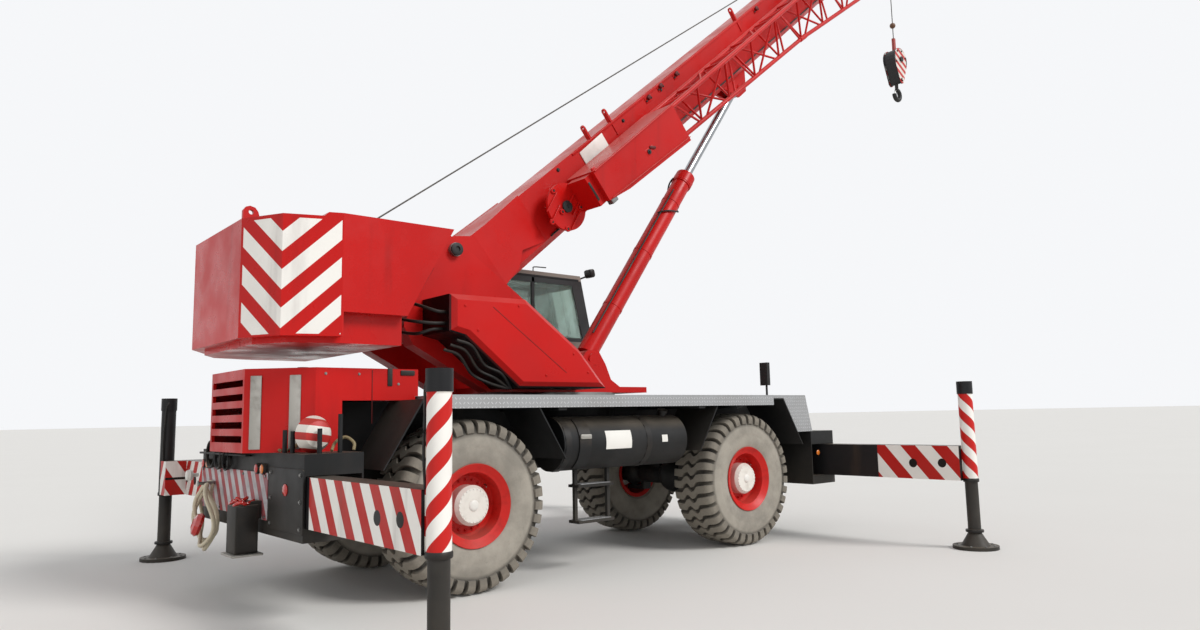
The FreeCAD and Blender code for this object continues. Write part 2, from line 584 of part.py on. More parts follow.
def counterweight():
    """The cast counterweight, faceted at its rear corners, with a skirt that draws in below."""
    def plan(inset, front):
        right = [("-tail_rear + {0}", "-tail_rear_half"),
                 ("-tail_knee_x + {0} * 0.7", "-tail_knee_half + {0} * 0.7"),
                 ("-tail_side_x + {0} * 0.3", "-tail_half + {0}"), (front, "-tail_half + {0}")]
        corners = [(a.format(inset), b.format(inset)) for a, b in right]
        return corners + [(a, f"-({b})") for a, b in reversed(corners)]
    upper = prism("tail_upper", "xy", "tail_skirt", "tail_top", [plan("0", "-tail_front_top")])
    slope = prism("tail_slope", "xz", "-tail_half - 1", "tail_half + 1",
                  [[("-tail_front", "tail_skirt"), ("-tail_front_top", "tail_top + 1"),
                    ("1 - tail_front_top", "tail_top + 1"), ("1 - tail_front_top", "tail_skirt - 1"),
                    ("-tail_front", "tail_skirt - 1")]])
    step = prism("tail_top_step", "xz", "-tail_half - 1", "tail_half + 1",
                 [[("-tail_rear - 1", "tail_top - tail_step"),
                   ("-tail_step_x - tail_step", "tail_top - tail_step"),
                   ("1 - tail_step_x", "tail_top + 1"), ("-tail_rear - 1", "tail_top + 1")]])
    corner = prism("tail_corner", "xy", "tail_corner_low", "tail_skirt",
                   [plan("0", "12 - tail_side_x")])
    lower = prism("tail_lower", "xy", "tail_low", "tail_skirt", [plan("120", "-tail_front")])
    bay = box("hoist_bay", ("-bay_rear", "-2000"), ("-cheek_outer - seat", "cheek_outer + seat"),
              ("bay_floor", "tail_top + 1"))
    front = box("cheek_bay", ("-2480", "-2000"), ("-cheek_outer - seat", "cheek_outer + seat"),
                ("tail_low - 1", "bay_floor + 1"))
    ear = prism("lift_ear", "xz", "-tail_rear_half", "40 - tail_rear_half",
                [[("10 - tail_rear", "tail_top - tail_step - 1"), ("10 - tail_rear", "tail_top + 45"),
                  ("35 - tail_rear", "tail_top + 80"), ("70 - tail_rear", "tail_top + 92"),
                  ("115 - tail_rear", "tail_top + 80"), ("142 - tail_rear", "tail_top + 45"),
                  ("165 - tail_rear", "tail_top - tail_step - 1")]],
                [("80 - tail_rear", "tail_top + 35", "22")])
    weight = fuse("tail_fused", cut("tail_upper_cut", upper, slope, step), corner, lower, ear)
    node("counterweight", cut("counterweight", weight, bay, front))


def hoist_drums():
    """The main and the auxiliary hoist drum, lying across the counterweight's bay."""
    drums = []
    # Columns: place along X, height above the bay's floor, flange radius, rope layer radius.
    for k, (x, rise, flange, core) in enumerate((
            ("-2640", "drum_rise", "drum_radius", "drum_core"),
            ("-bay_rear + 185", "300", "drum_radius * 0.55", "drum_core * 0.55"))):
        z = f"bay_floor + {rise}"
        pieces = [rod(f"drum_core_{k}", "y", core, "10 - drum_half", "drum_half - 10", (x, z)),
                  rod(f"drum_shaft_{k}", "y", "60", "seat - cheek_inner", "cheek_inner - seat", (x, z))]
        pieces += [rod(f"drum_flange_{k}_{s}", "y", flange, f"{s} * drum_half - 15",
                       f"{s} * drum_half + 15", (x, z))
                   for s in (-1, 1)]
        drums.append(fuse(f"hoist_drum_{k}", *pieces))
    node("main_hoist_drum", drums[0])
    node("auxiliary_hoist_drum", drums[1])


def valve_housing():
    """The raised, bevelled housing on the turret's right side."""
    outline = [("-2250", "2915"), ("-1330", "2925"), ("-600", "2410"), ("-215", "1990"),
               ("-1420", "1990"), ("-2070", "2500"), ("-2250", "2540")]
    housing = prism("valve_housing", "xz", "-cover_outer", "-cheek_outer - seat", [outline])
    doc.recompute()
    pad = housing.Tip
    face_y = -number("cover_outer")
    rim = [f"Edge{k}" for k, edge in enumerate(pad.Shape.Edges, start=1)
           if all(abs(v.Point.y - face_y) < 0.01 for v in edge.Vertexes)]
    bevel = housing.newObject("PartDesign::Chamfer", "housing_bevel")
    bevel.Base = (pad, rim)
    bind(bevel, Size="cover_bevel")
    node("valve_housing", housing)


def cab():
    """The operator's cab: a hollow shell with cut windows, its glass, its sliding door and its inside."""
    side = [("-cab_rear", "cab_floor"), ("cab_front", "cab_floor"), ("cab_front + 60", "cab_sill - 200"),
            ("cab_roof_front", "cab_top"), ("-cab_rear", "cab_top")]
    inner = [("-cab_rear + cab_wall", "cab_floor + cab_wall"),
             ("cab_front - cab_wall", "cab_floor + cab_wall"),
             ("cab_front + 60 - cab_wall", "cab_sill - 200"),
             ("cab_roof_front - cab_wall", "cab_top - cab_wall"),
             ("-cab_rear + cab_wall", "cab_top - cab_wall")]
    shell = prism("cab_outer", "xz", "cab_right", "cab_left", [side])
    hollow = prism("cab_inner", "xz", "cab_right + cab_wall", "cab_left - cab_wall", [inner])
    front_window = box("front_window", ("cab_roof_front - 250", "cab_front + 200"),
                       ("cab_right + 2 * cab_wall", "cab_left - 2 * cab_wall"),
                       ("cab_sill - 100", "cab_top - 3 * cab_wall"))
    right_window = prism("right_window", "xz", "cab_right - 1", "cab_right + cab_wall + 1",
                         [[("-cab_rear + 2 * cab_wall", "cab_sill"),
                           ("cab_front - 3 * cab_wall", "cab_sill"),
                           ("cab_roof_front - 3 * cab_wall", "cab_top - 3 * cab_wall"),
                           ("-cab_rear + 2 * cab_wall", "cab_top - 3 * cab_wall")]])
    rear_window = box("rear_window", ("-cab_rear - 1", "-cab_rear + cab_wall + 1"),
                      ("cab_right + 2 * cab_wall", "cab_left - 2 * cab_wall"),
                      ("cab_sill", "cab_top - 3 * cab_wall"))
    roof_window = box("roof_window", ("-100", "cab_roof_front - 200"),
                      ("cab_right + 3 * cab_wall", "cab_left - 3 * cab_wall"),
                      ("cab_top - cab_wall - 1", "cab_top + 1"))
    doorway = box("doorway", ("-560", "420"), ("cab_left - cab_wall - 1", "cab_left + 1"),
                  ("cab_floor + 2 * cab_wall", "cab_top - 2 * cab_wall"))
    hinge = ("-560", "cab_left + hinge_radius + 0.5")
    leaves, knuckles = [], []
    for low in (300, 1250):
        leaves += [rod("shell_knuckle", "z", "hinge_radius", f"cab_floor + {low}",
                       f"cab_floor + {low} + 60", hinge),
                   box("shell_leaf", (f"{hinge[0]} - 50", hinge[0]),
                       ("cab_left - 1", "cab_left + hinge_radius"),
                       (f"cab_floor + {low}", f"cab_floor + {low} + 60"))]
        knuckles += [rod("door_knuckle", "z", "hinge_radius", f"cab_floor + {low} + 60 + seat",
                         f"cab_floor + {low} + 120", hinge),
                     box("door_leaf", (f"{hinge[0]} + 8", f"{hinge[0]} + 50"),
                         ("cab_left - 10", "cab_left + hinge_radius"),
                         (f"cab_floor + {low} + 60 + seat", f"cab_floor + {low} + 120"))]
    opened = cut("cab_opened", shell, hollow, front_window, right_window, rear_window, roof_window,
                 doorway)
    node("cab_shell", fuse("cab_shell_fused", opened, *leaves))
    pane = prism("side_pane", "xz", "cab_right + 12", "cab_right + 22",
                 [[("-cab_rear + 2 * cab_wall + seat", "cab_sill + seat"),
                   ("cab_front - 3 * cab_wall - seat", "cab_sill + seat"),
                   ("cab_roof_front - 3 * cab_wall - seat", "cab_top - 3 * cab_wall - seat"),
                   ("-cab_rear + 2 * cab_wall + seat", "cab_top - 3 * cab_wall - seat")]])
    slope = [("cab_front + 60 - 12", "cab_sill - 100 + seat"),
             ("cab_front + 60 - 22", "cab_sill - 100 + seat")]
    rear_pane = box("rear_pane", ("-cab_rear + 12", "-cab_rear + 22"),
                    ("cab_right + 2 * cab_wall + seat", "cab_left - 2 * cab_wall - seat"),
                    ("cab_sill + seat", "cab_top - 3 * cab_wall - seat"))
    roof_pane = box("roof_pane", ("-100 + seat", "cab_roof_front - 200 - seat"),
                    ("cab_right + 3 * cab_wall + seat", "cab_left - 3 * cab_wall - seat"),
                    ("cab_top - 30", "cab_top - 20"))
    lean = "(cab_front + 60 - cab_roof_front) / (cab_top - cab_sill + 200)"
    rise_low = "(100 + seat)"
    rise_high = "(cab_top - 3 * cab_wall - seat - cab_sill + 200)"
    front_pane = prism("front_pane", "xz", "cab_right + 2 * cab_wall + seat",
                       "cab_left - 2 * cab_wall - seat",
                       [[(f"cab_front + 48 - {rise_low} * {lean}", "cab_sill - 100 + seat"),
                         (f"cab_front + 48 - {rise_high} * {lean}", "cab_top - 3 * cab_wall - seat"),
                         (f"cab_front + 36 - {rise_high} * {lean}", "cab_top - 3 * cab_wall - seat"),
                         (f"cab_front + 36 - {rise_low} * {lean}", "cab_sill - 100 + seat")]])
    node("cab_glass", group("cab_glass", pane, rear_pane, roof_pane, front_pane))
    frame = box("door_panel", ("-560 + clearance", "420 - clearance"),
                ("cab_left - 38", "cab_left - clearance"),
                ("cab_floor + 2 * cab_wall + clearance", "cab_top - 2 * cab_wall - clearance"))
    light = box("door_light", ("-560 + 90", "420 - 90"), ("cab_left - 60", "cab_left + 10"),
                ("cab_sill", "cab_top - 4 * cab_wall"))
    node("cab_door", fuse("cab_door_fused", cut("cab_door_cut", frame, light), *knuckles))
    seat_base = box("seat_base", ("-330", "90"), ("cab_right + 190", "cab_left - 190"),
                    ("cab_floor + cab_wall + seat", "cab_floor + 420"))
    seat_pad = box("seat_pad", ("-380", "130"), ("cab_right + 140", "cab_left - 140"),
                   ("cab_floor + 420", "cab_floor + 520"))
    seat_back = box("seat_back", ("-480", "-380"), ("cab_right + 150", "cab_left - 150"),
                    ("cab_floor + 420", "cab_floor + 1120"))
    node("operator_seat", fuse("operator_seat", seat_base, seat_pad, seat_back))
    console = box("console_block", ("700", "cab_front - cab_wall - 30"),
                  ("cab_right + 120", "cab_left - 200"),
                  ("cab_floor + cab_wall + seat", "cab_floor + 620"))
    column = rod("steering_column", "z", "30", "cab_floor + 600", "cab_floor + 800",
                 ("760", "(cab_right + cab_left) / 2"))
    wheel = doc.addObject("Part::Torus", "steering_wheel")
    bind(wheel, Radius1="200", Radius2="18", x="760", y="(cab_right + cab_left) / 2", z="cab_floor + 800")
    spoke = box("steering_spoke", ("760 - 200", "760 + 200"),
                ("(cab_right + cab_left) / 2 - 20", "(cab_right + cab_left) / 2 + 20"),
                ("cab_floor + 788", "cab_floor + 808"))
    node("cab_console", fuse("cab_console", console, column, wheel, spoke))


def section(name, place, start, end, collar):
    """One box section of the boom, bevelled below; place counts the sections round it."""
    inset = f"{place} * (section_wall + section_step)"
    half = f"(base_width / 2 - {inset})"
    top = f"(boom_top - {inset})"
    low = f"(boom_top - base_depth + {inset})"
    flat = f"(flat_half - {place} * flat_step)"
    rise = f"(bevel_rise - {place} * bevel_step)"

    def ring(grow):
        left = [(f"-({half}) - ({grow})", f"{top} + ({grow})"),
                (f"-({half}) - ({grow})", f"{low} + {rise}"),
                (f"-({flat}) - ({grow}) * 0.6", f"{low} - ({grow})")]
        return left + [(f"-({a})", b) for a, b in reversed(left)]
    tube = prism(name + "_tube", "yz", start, end, [ring("0"), ring("-section_wall")])
    if not collar:
        return tube
    band = prism(name + "_band", "yz", f"{end} - section_collar", end,
                 [ring("section_step * 0.8"), ring("-section_wall")])
    pad = box(name + "_wear_pad", (f"{end} - 150", f"{end} - 20"), (f"20 - {flat}", f"{flat} - 20"),
              (f"{low} + 1", f"{low} + section_wall + section_step - seat"))
    return fuse(name + "_fused", tube, band, pad)


def boom_foot():
    """The foot's side plates, which draw in to the tube, its boss and its closing plate."""
    outer, inner = "(cheek_inner - clearance)", "(cheek_inner - clearance - foot_plate)"
    profile = [("-150", "-60"), ("-110", "90"), ("0", "140"), ("224", "82"), ("400", "-31"),
               ("700", "boom_top + 15"), ("taper_end", "boom_top + 15"),
               ("taper_end", "boom_top - base_depth + bevel_rise"), ("970", "-580"), ("770", "-710"),
               ("438", "-738"), ("-60", "-150")]
    plan = [("-200", outer), ("taper_start", outer), ("taper_end + 1", "base_width / 2 + 2"),
            ("taper_end + 1", "base_width / 2 - 8"), ("taper_end - 190", "base_width / 2 - 8"),
            ("taper_start - 10", inner), ("-200", inner)]
    side = doc.addObject("Part::Common", "foot_side_plate")
    side.Base = prism("foot_profile", "xz", "0", outer + " + 1", [profile])
    side.Tool = prism("foot_plan", "xy", "-900", "300", [plan])
    boss = rod("foot_boss_bar", "y", "foot_boss", f"-{outer}", outer, ("0", "0"))
    half = [("60", f"{inner} + 6"), ("taper_start - 5", f"{inner} + 6"),
            ("taper_end - 20", "base_width / 2 - 6")]
    cover = prism("foot_cover", "xy", "boom_top - 2", "boom_top + 12",
                  [half + [(a, f"-({b})") for a, b in reversed(half)]])
    return [side, mirrored("foot_side_other", side), boss, cover]


def boom():
    """Base section with its foot, three inner sections that slide in it, and the sheave head."""
    base_tube = section("boom_base", 0, "tube_start", "base_end", True)
    underside = "boom_top - base_depth + 5"
    lugs = []
    for side in (-1, 1):
        y = f"{side} * (rod_eye_half + 26)"
        lugs.append(prism(f"eye_lug_{side}", "xz", f"{y} - 20", f"{y} + 20",
                          [[("eye_u - 380", underside), ("eye_u - 110", "eye_v - 110"),
                            ("eye_u + 110", "eye_v - 110"), ("eye_u + 330", underside)]]))
    lugs.append(rod("eye_pin", "y", "lift_pin - running", "-rod_eye_half - 60", "rod_eye_half + 60",
                    ("eye_u", "eye_v")))
    ears = []
    # Columns: place along the boom, height above the top of the base section.
    for u, rise in ((2920, 195), (3410, 195), (6990, 217)):
        edge, peak = "-base_width / 2", f"boom_top + {rise}"
        outline = [(f"{edge} - 12", "boom_top - 200"), (f"{edge} - 12", f"{peak} - 34"),
                   (f"{edge} + 2", f"{peak} - 8"),
                   (f"{edge} + 22", peak), (f"{edge} + 42", f"{peak} - 8"),
                   (f"{edge} + 56", f"{peak} - 34"),
                   (f"{edge} + 56", "boom_top - 5"), (f"{edge} + 5", "boom_top - 5"),
                   (f"{edge} + 5", "boom_top - 200")]
        ears.append(prism(f"top_ear_{u}", "yz", f"{u} - 15", f"{u} + 15", [outline],
                          [(f"{edge} + 22", f"{peak} - 45", "20")]))
    base = fuse("boom_base_fused", base_tube, *boom_foot(), *lugs, *ears)
    bore = rod("foot_bore", "y", "foot_pin + running / 2", "-cheek_inner", "cheek_inner", ("0", "0"))
    node("boom_base", cut("boom_base", base, bore), "boom")
    node("boom_foot_pin", rod("foot_pin_bar", "y", "foot_pin - running / 2", "-cheek_outer - 45",
                              "cheek_outer + 45", ("foot_x", "foot_z")))
    for k in (1, 2):
        end = f"(base_end + {k} * section_out)"
        node(f"boom_section_{k}", section(f"boom_section_{k}", k, f"{end} - section_length", end, True),
             "boom")
    end = "(base_end + 3 * section_out)"
    fly = section("boom_fly", 3, f"{end} - section_length", end, False)
    inset = "3 * (section_wall + section_step)"
    half, upper = f"(base_width / 2 - {inset})", f"(boom_top - {inset})"
    lower = f"(boom_top - base_depth + {inset})"
    low_spot, top_spot = ("boom_length", "-head_drop"), ("boom_length - nose_back", "-nose_drop")
    cheeks = []
    for side in (-1, 1):
        y = f"{side} * ({half} - 18)"
        outline = [(f"{end} - 300", f"{upper} - 6"), (f"{end} - 20", f"{upper} + 20"),
                   ("boom_length - nose_back", "50 - nose_drop"), ("boom_length - 60", "-205"),
                   ("boom_length + 140", "-245"), ("boom_length + 140", "-430"),
                   (f"{end} + 250", f"{lower} + 60"),
                   (f"{end} - 300", f"{lower} + 60")]
        cheeks.append(prism(f"head_cheek_{side}", "xz", f"{y} - 15", f"{y} + 15", [outline],
                            [(*low_spot, "30"), (*top_spot, "30")]))
    nose = box("head_nose", (f"{end} - 20", f"{end} + 10"), (f"10 - {half}", f"{half} - 10"),
               (f"{lower} + 8", f"{upper} - 8"))
    node("boom_fly", fuse("boom_fly", fly, *cheeks, nose), "boom")
    wheels = [rod(f"sheave_{k}", "y", "head_sheave", f"{k} * sheave_pitch - sheave_width / 2",
                  f"{k} * sheave_pitch + sheave_width / 2", low_spot) for k in (-1, 0, 1)]
    top_wheel = rod("sheave_top", "y", "head_sheave * 0.7", "-sheave_width / 2", "sheave_width / 2",
                    top_spot)
    bars = [rod(f"head_bar_{k}", "y", "30", f"-{half}", half, spot) for k,
            spot in enumerate((low_spot, top_spot))]
    node("head_sheaves", group("head_sheaves", fuse("head_sheaves_lower", *wheels, bars[0]),
                               fuse("head_sheaves_upper", top_wheel, bars[1])), "boom")


def jib():
    """The stowed jib on the boom's right side: hinge plate, channel, solid tip and lattice."""
    plate = rod("jib_plate_disc", "y", "jib_plate", "-jib_plate_y", "40 - jib_plate_y",
                ("jib_plate_u", "jib_plate_v"))
    channel = box("jib_channel", ("jib_box_start - 110", "jib_box_start"),
                  ("-jib_y - 190", "1 - jib_plate_y"),
                  ("-690", "-290"))
    posts = []
    # Columns: start and end along the boom, lower and upper edge, outer end.
    for k, (start, end, low, high, outer) in enumerate((
            ("1650", "1950", "-620", "-380", "39 - jib_plate_y"),
            ("3000", "3100", "-430", "-330", "-jib_y + jib_half + 40 + seat"),
            ("8600", "8700", "jib_top - 50", "jib_top + 50", "-jib_y + jib_half + jib_chord + seat"))):
        posts.append(box(f"jib_post_{k}", (start, end), (outer, "-base_width / 2 - seat"), (low, high)))
    hinge = fuse("jib_hinge", plate, channel, posts[0])
    node("jib_mount", group("jib_mount", hinge, *posts[1:]), "boom")
    tip = prism("jib_tip", "xz", "-jib_y - jib_half - 40", "-jib_y + jib_half + 40",
                [[("jib_box_start + seat", "jib_top + 40"), ("jib_box_end", "jib_top + 40"),
                  ("jib_box_end", "jib_low - 42"), ("2500", "-755"), ("jib_box_start + seat", "-690")]])
    doc.recompute()
    bays, knee = 9, 5
    first, last = number("jib_box_end") - 60, number("jib_end")
    middle, half, top = -number("jib_y"), number("jib_half"), number("jib_top")
    chord, lace = number("jib_chord"), number("jib_lace")

    def corner(k, which):
        """A lattice corner: which is 0 and 1 for the upper chords, 2 for the lower one."""
        u = first + (last - first) * k / bays
        if which == 2:
            return Vector(u, middle, number("jib_low") - 27 * min(k, knee) - 69 * max(0, k - knee))
        return Vector(u, middle + (half if which else -half), top)

    def bar(a, b, radius, trim=0):
        """A round bar from a to b, each end shortened by trim."""
        run = b - a
        along = Vector(run).normalize()
        return Part.makeCylinder(radius, run.Length - 2 * trim, a + along * trim, run)
    bars = [bar(corner(0, w), corner(bays, w), chord) for w in (0, 1)]
    bars += [bar(corner(0, 2), corner(knee, 2), chord, 10),
             bar(corner(knee, 2), corner(bays, 2), chord, 10),
             bar(corner(knee - 0.12, 2), corner(knee + 0.12, 2), chord + 8)]
    aside = 0.1
    for k in range(bays + 1):
        for w in range(3):
            beside = (w + 1) % 3
            if k > 0:
                bars.append(bar(corner(k - w * 0.03, w), corner(k - w * 0.03, beside), lace))
            if k < bays:
                ends = (k + aside, k + 1 - aside * 1.6) if k % 2 else (k + 1 - aside, k + aside * 1.6)
                bars.append(bar(corner(ends[0], w), corner(ends[1], beside), lace))
    lattice = doc.addObject("Part::Feature", "jib_lattice_bars")
    lattice.Shape = tip.Shape.fuse(bars)
    node("stowed_jib", lattice, "boom")


def lift_cylinder():
    """The lift cylinder between the turret's bracket and the boom's lugs."""
    eye_x = "(foot_x + eye_u * cos(boom_angle) - eye_v * sin(boom_angle))"
    eye_z = "(foot_z + eye_u * sin(boom_angle) + eye_v * cos(boom_angle))"
    run = f"sqrt(({eye_x} - lift_x) * ({eye_x} - lift_x) + ({eye_z} - lift_z) * ({eye_z} - lift_z))"
    tilt = f"atan2({eye_z} - lift_z; {eye_x} - lift_x)"

    def aim(name, item):
        holder = node(name, item, x="lift_x", z="lift_z")
        holder.Placement.Rotation = Rotation(Vector(0, -1, 0), number(tilt))
        holder.setExpression("Placement.Rotation.Angle", bound(tilt))
    foot = rod("barrel_foot", "y", "lift_eye", f"-{FOOT_HALF}", FOOT_HALF, ("0", "0"))
    tube = rod("barrel_tube", "x", "lift_barrel", "lift_eye - 20", "barrel_length", ("0", "0"))
    gland = rod("barrel_gland", "x", "lift_barrel + 12", "barrel_length - gland_length", "barrel_length",
                ("0", "0"))
    bore = rod("barrel_bore", "x", "lift_bore", "lift_eye + 120", "barrel_length - gland_length",
               ("0", "0"))
    throat = rod("barrel_throat", "x", "lift_rod + running", "barrel_length - gland_length - 10",
                 "barrel_length + 1", ("0", "0"))
    aim("lift_barrel", cut("barrel_cut", fuse("barrel_fused", foot, tube, gland), bore, throat))
    eye = rod("rod_eye", "y", "lift_eye", "-rod_eye_half", "rod_eye_half", (run, "0"))
    stem = rod("rod_stem", "x", "lift_rod", f"{run} - rod_length + 10", f"{run} - lift_eye + 30",
               ("0", "0"))
    piston = rod("rod_piston", "x", "lift_bore - running", f"{run} - rod_length",
                 f"{run} - rod_length + piston_length", ("0", "0"))
    eye_hole = rod("rod_hole", "y", "lift_pin", "-rod_eye_half - 1", "rod_eye_half + 1", (run, "0"))
    aim("lift_rod", cut("rod_cut", fuse("rod_fused", eye, stem, piston), eye_hole))


def hook_block():
    """The hook block on its rope, plumb below the boom head, and its hook."""
    x, z = HOOK_X, f"({HEAD_Z} - hook_drop)"
    lean = math.degrees(math.asin((number("block_radius") - number("block_toe")) / number("block_reach")))
    steps = 12

    def pear(inset):
        """The cheek's outline: a wide round top drawn in to a narrow round toe."""
        corners = []
        for radius, drop, start, sweep in (("block_radius", "0", -lean, 180 + 2 * lean),
                                           ("block_toe", "block_reach", 180 + lean, 180 - 2 * lean)):
            for k in range(steps + 1):
                angle = start + sweep * k / steps
                corners.append((f"{x} + ({radius} - {inset}) * cos({angle:.3f})",
                                f"{z} - {drop} + ({radius} - {inset}) * sin({angle:.3f})"))
        return corners
    sides = [prism(f"block_cheek_{s}", "xz", f"{s} * (block_half - cheek_plate / 2) - cheek_plate / 2",
                   f"{s} * (block_half - cheek_plate / 2) + cheek_plate / 2",
                   [pear("0")]) for s in (-1, 1)]
    core = prism("block_core", "xz", "cheek_plate - block_half - 1", "block_half - cheek_plate + 1",
                 [pear("core_inset")])
    pin = rod("block_pin", "y", "45", "-block_half - 30", "block_half + 30", (x, z))
    toe_pin = rod("block_toe_pin", "y", "34", "-block_half - 26", "block_half + 26",
                  (x, f"{z} - block_reach"))
    socket = box("rope_socket", (f"{x} - 32", f"{x} + 32"), ("-26", "26"),
                 (f"{z} + block_radius - 40", f"{z} + block_radius + 250"))
    rope = rod("rope_fall", "z", "rope_radius", f"{z} + block_radius + 240", HEAD_Z, (x, "0"))
    weight = doc.addObject("Part::Sphere", "rope_weight")
    bind(weight, Radius="weight_radius", x=x, z=f"{z} + weight_rise")
    node("hook_block", fuse("hook_block_fused", *sides, core, pin, toe_pin, socket, rope, weight))
    bar, reach = number("hook_bar"), number("hook_reach")
    # The hook is a bar bent round three quarters of a circle, its shank up to the block's toe.
    bend = Vector(0, 0, -number("hook_below"))
    top, front, low = Vector(0, 0, reach), Vector(reach, 0, 0), Vector(0, 0, -reach)
    middle, tip = Vector(-reach * math.sqrt(0.5), 0, -reach * math.sqrt(0.5)), Vector(-reach, 0, 0)
    path = Part.Wire([Part.Arc(bend + top, bend + front, bend + low).toShape(),
                      Part.Arc(bend + low, bend + middle, bend + tip).toShape()])
    bar_ring = Part.Wire([Part.makeCircle(bar, bend + top, Vector(1, 0, 0))])
    crook = path.makePipeShell([bar_ring], True, False)
    toe = number("block_reach + block_toe - core_inset + seat")
    shank = Part.makeCylinder(bar * 0.8, -bend.z - reach - toe, bend + top)
    neck = Part.makeSphere(bar, bend + top)
    hook = doc.addObject("Part::Feature", "hook_crook")
    hook.Shape = crook.fuse([neck, shank])
    bind(hook, x=x, z=z)
    node("hook", group("hook", hook))


def outriggers():
    """Four beams, each with its jack's tube, and four jack rods with their feet."""
    rows = [
        ("rear_right", -1, "-beam_x", "-jack_x"), ("rear_left", 1, "(beam_pitch - beam_x)", "-jack_x"),
        ("front_right", -1, "beam_x", "jack_x"), ("front_left", 1, "(beam_x - beam_pitch)", "jack_x"),
    ]
    for name, side, beam, jack in rows:
        inner, outer = "(box_half - beam_grip)", "(jack_y - jack_tube * 0.75)"
        span = (inner, outer) if side > 0 else (f"-{outer}", f"-{inner}")
        tube = box(name + "_outer", (f"{beam} - beam_width / 2", f"{beam} + beam_width / 2"), span,
                   ("beam_low", "beam_top"))
        hollow = box(name + "_hollow", (f"{beam} - beam_width / 2 + beam_wall",
                                        f"{beam} + beam_width / 2 - beam_wall"),
                     (f"{span[0]} - 1" if side > 0 else f"{span[0]} + 60",
                      f"{span[1]} - 60" if side > 0 else f"{span[1]} + 1"),
                      ("beam_low + beam_wall", "beam_top - beam_wall"))
        y = f"{side} * jack_y"
        head = box(name + "_head", (f"min({beam} - beam_width / 2; {jack} - jack_tube)",
                                    f"max({beam} + beam_width / 2; {jack} + jack_tube)"),
                   ("jack_y - 300", outer) if side > 0 else (f"-{outer}", "300 - jack_y"),
                   ("beam_low", "beam_top"))
        casing = rod(name + "_casing", "z", "jack_tube", "jack_low", "jack_top - jack_cap", (jack, y))
        cap = rod(name + "_cap", "z", "jack_tube + 8", "jack_top - jack_cap", "jack_top", (jack, y))
        bore = rod(name + "_bore", "z", "jack_rod + running", "jack_low - 1", "jack_top - jack_cap",
                   (jack, y))
        beam_item = cut(name + "_beam", fuse(name + "_fused", cut(name + "_shell", tube, hollow), casing,
                                             cap, head), bore)
        node(name + "_beam", beam_item)
        stem = rod(name + "_stem", "z", "jack_rod", "pad_thick", "jack_top - jack_cap - jack_lift - 40",
                   (jack, y))
        pad = rod(name + "_pad", "z", "pad_radius", "0", "pad_thick", (jack, y))
        boss = doc.addObject("Part::Cone", name + "_boss")
        bind(boss, Radius1="jack_rod + 90", Radius2="jack_rod", Height="150", x=jack, y=y, z="pad_thick")
        node(name + "_jack", fuse(name + "_jack", stem, pad, boss))


def wheels():
    """Four wheels: a tyre and a dished rim each, on a knuckle that turns about its kingpin."""
    half = "(tyre_width / 2)"
    tyre_ring = [("rim_radius - 40", f"-{half} + 60"), ("rim_radius + 25", f"-{half} + 20"),
                 ("tyre_radius - 190", f"-{half}"),
                 ("tyre_radius - 50", f"-{half} + 15"), ("tyre_radius", f"-{half} + 75"),
                 ("tyre_radius", f"{half} - 75"),
                 ("tyre_radius - 50", f"{half} - 15"), ("tyre_radius - 190", half),
                 ("rim_radius + 25", f"{half} - 20"), ("rim_radius - 40", f"{half} - 60"),
                 ("rim_bore + rim_wall + seat", f"{half} - 80"),
                 ("rim_bore + rim_wall + seat", f"80 - {half}")]
    rim_ring = [("0", f"{half} - hub_face"), ("hub_radius - 30", f"{half} - hub_face"),
                ("hub_radius", f"{half} - hub_face - 40"),
                ("hub_radius", f"{half} - 215"), ("rim_bore - 20", f"{half} - 215"),
                ("rim_bore", f"{half} - 190"), ("rim_bore + 20", f"{half} - 62"),
                ("rim_radius - 60", f"{half} - 52"), ("rim_radius", f"{half} - 14"),
                ("rim_radius + 6", f"{half} - 26"),
                ("rim_radius - 42", f"{half} - 58.6"), ("rim_bore + rim_wall", f"{half} - 78"),
                ("rim_bore + rim_wall", f"78 - {half}"),
                ("rim_radius - 44", f"58 - {half}"), ("rim_radius - 50", f"48 - {half}"),
                ("rim_bore", f"66 - {half}"), ("rim_bore", f"{half} - 260"), ("0", f"{half} - 260")]
    for end, sign in (("rear", "-"), ("front", "")):
        for side, way in (("right", -1), ("left", 1)):
            name = f"{end}_{side}"
            x = f"{sign}axle_x"
            for piece, ring in (("tyre", tyre_ring), ("rim", rim_ring)):
                item = turned(f"{name}_{piece}_body", [(r, y if way > 0 else f"-({y})") for r, y in ring])
                node(f"{name}_{piece}", item, x=x, y=f"{way} * wheel_y", z="axle_z")
            ball = doc.addObject("Part::Sphere", name + "_ball")
            bind(ball, Radius="knuckle_radius", x=f"{sign}axle_x", y=f"{way} * kingpin_y", z="axle_z")
            low, high = f"{way} * kingpin_y", f"{way} * (wheel_y + tyre_width / 2 - 260 - seat)"
            spindle = rod(name + "_spindle", "y", "120", low if way > 0 else high,
                          high if way > 0 else low, (f"{sign}axle_x", "axle_z"))
            pin = rod(name + "_kingpin", "z", "45", "axle_z - knuckle_radius - 8 + seat",
                      "axle_z + knuckle_radius + 8 - seat",
                      (f"{sign}axle_x", f"{way} * kingpin_y"))
            node(f"{name}_knuckle", fuse(name + "_knuckle_fused", ball, spindle, pin))


for build in (chassis_frame, outrigger_boxes, deck, turntable_ring, engine_hood, engine_block, fenders,
              tanks,
              front_platform, axles, rear_rack, lamps_and_mirror, turret_frame, counterweight,
              hoist_drums, valve_housing, cab, boom, jib, lift_cylinder, hook_block, outriggers, wheels):
    build()
doc.recompute()

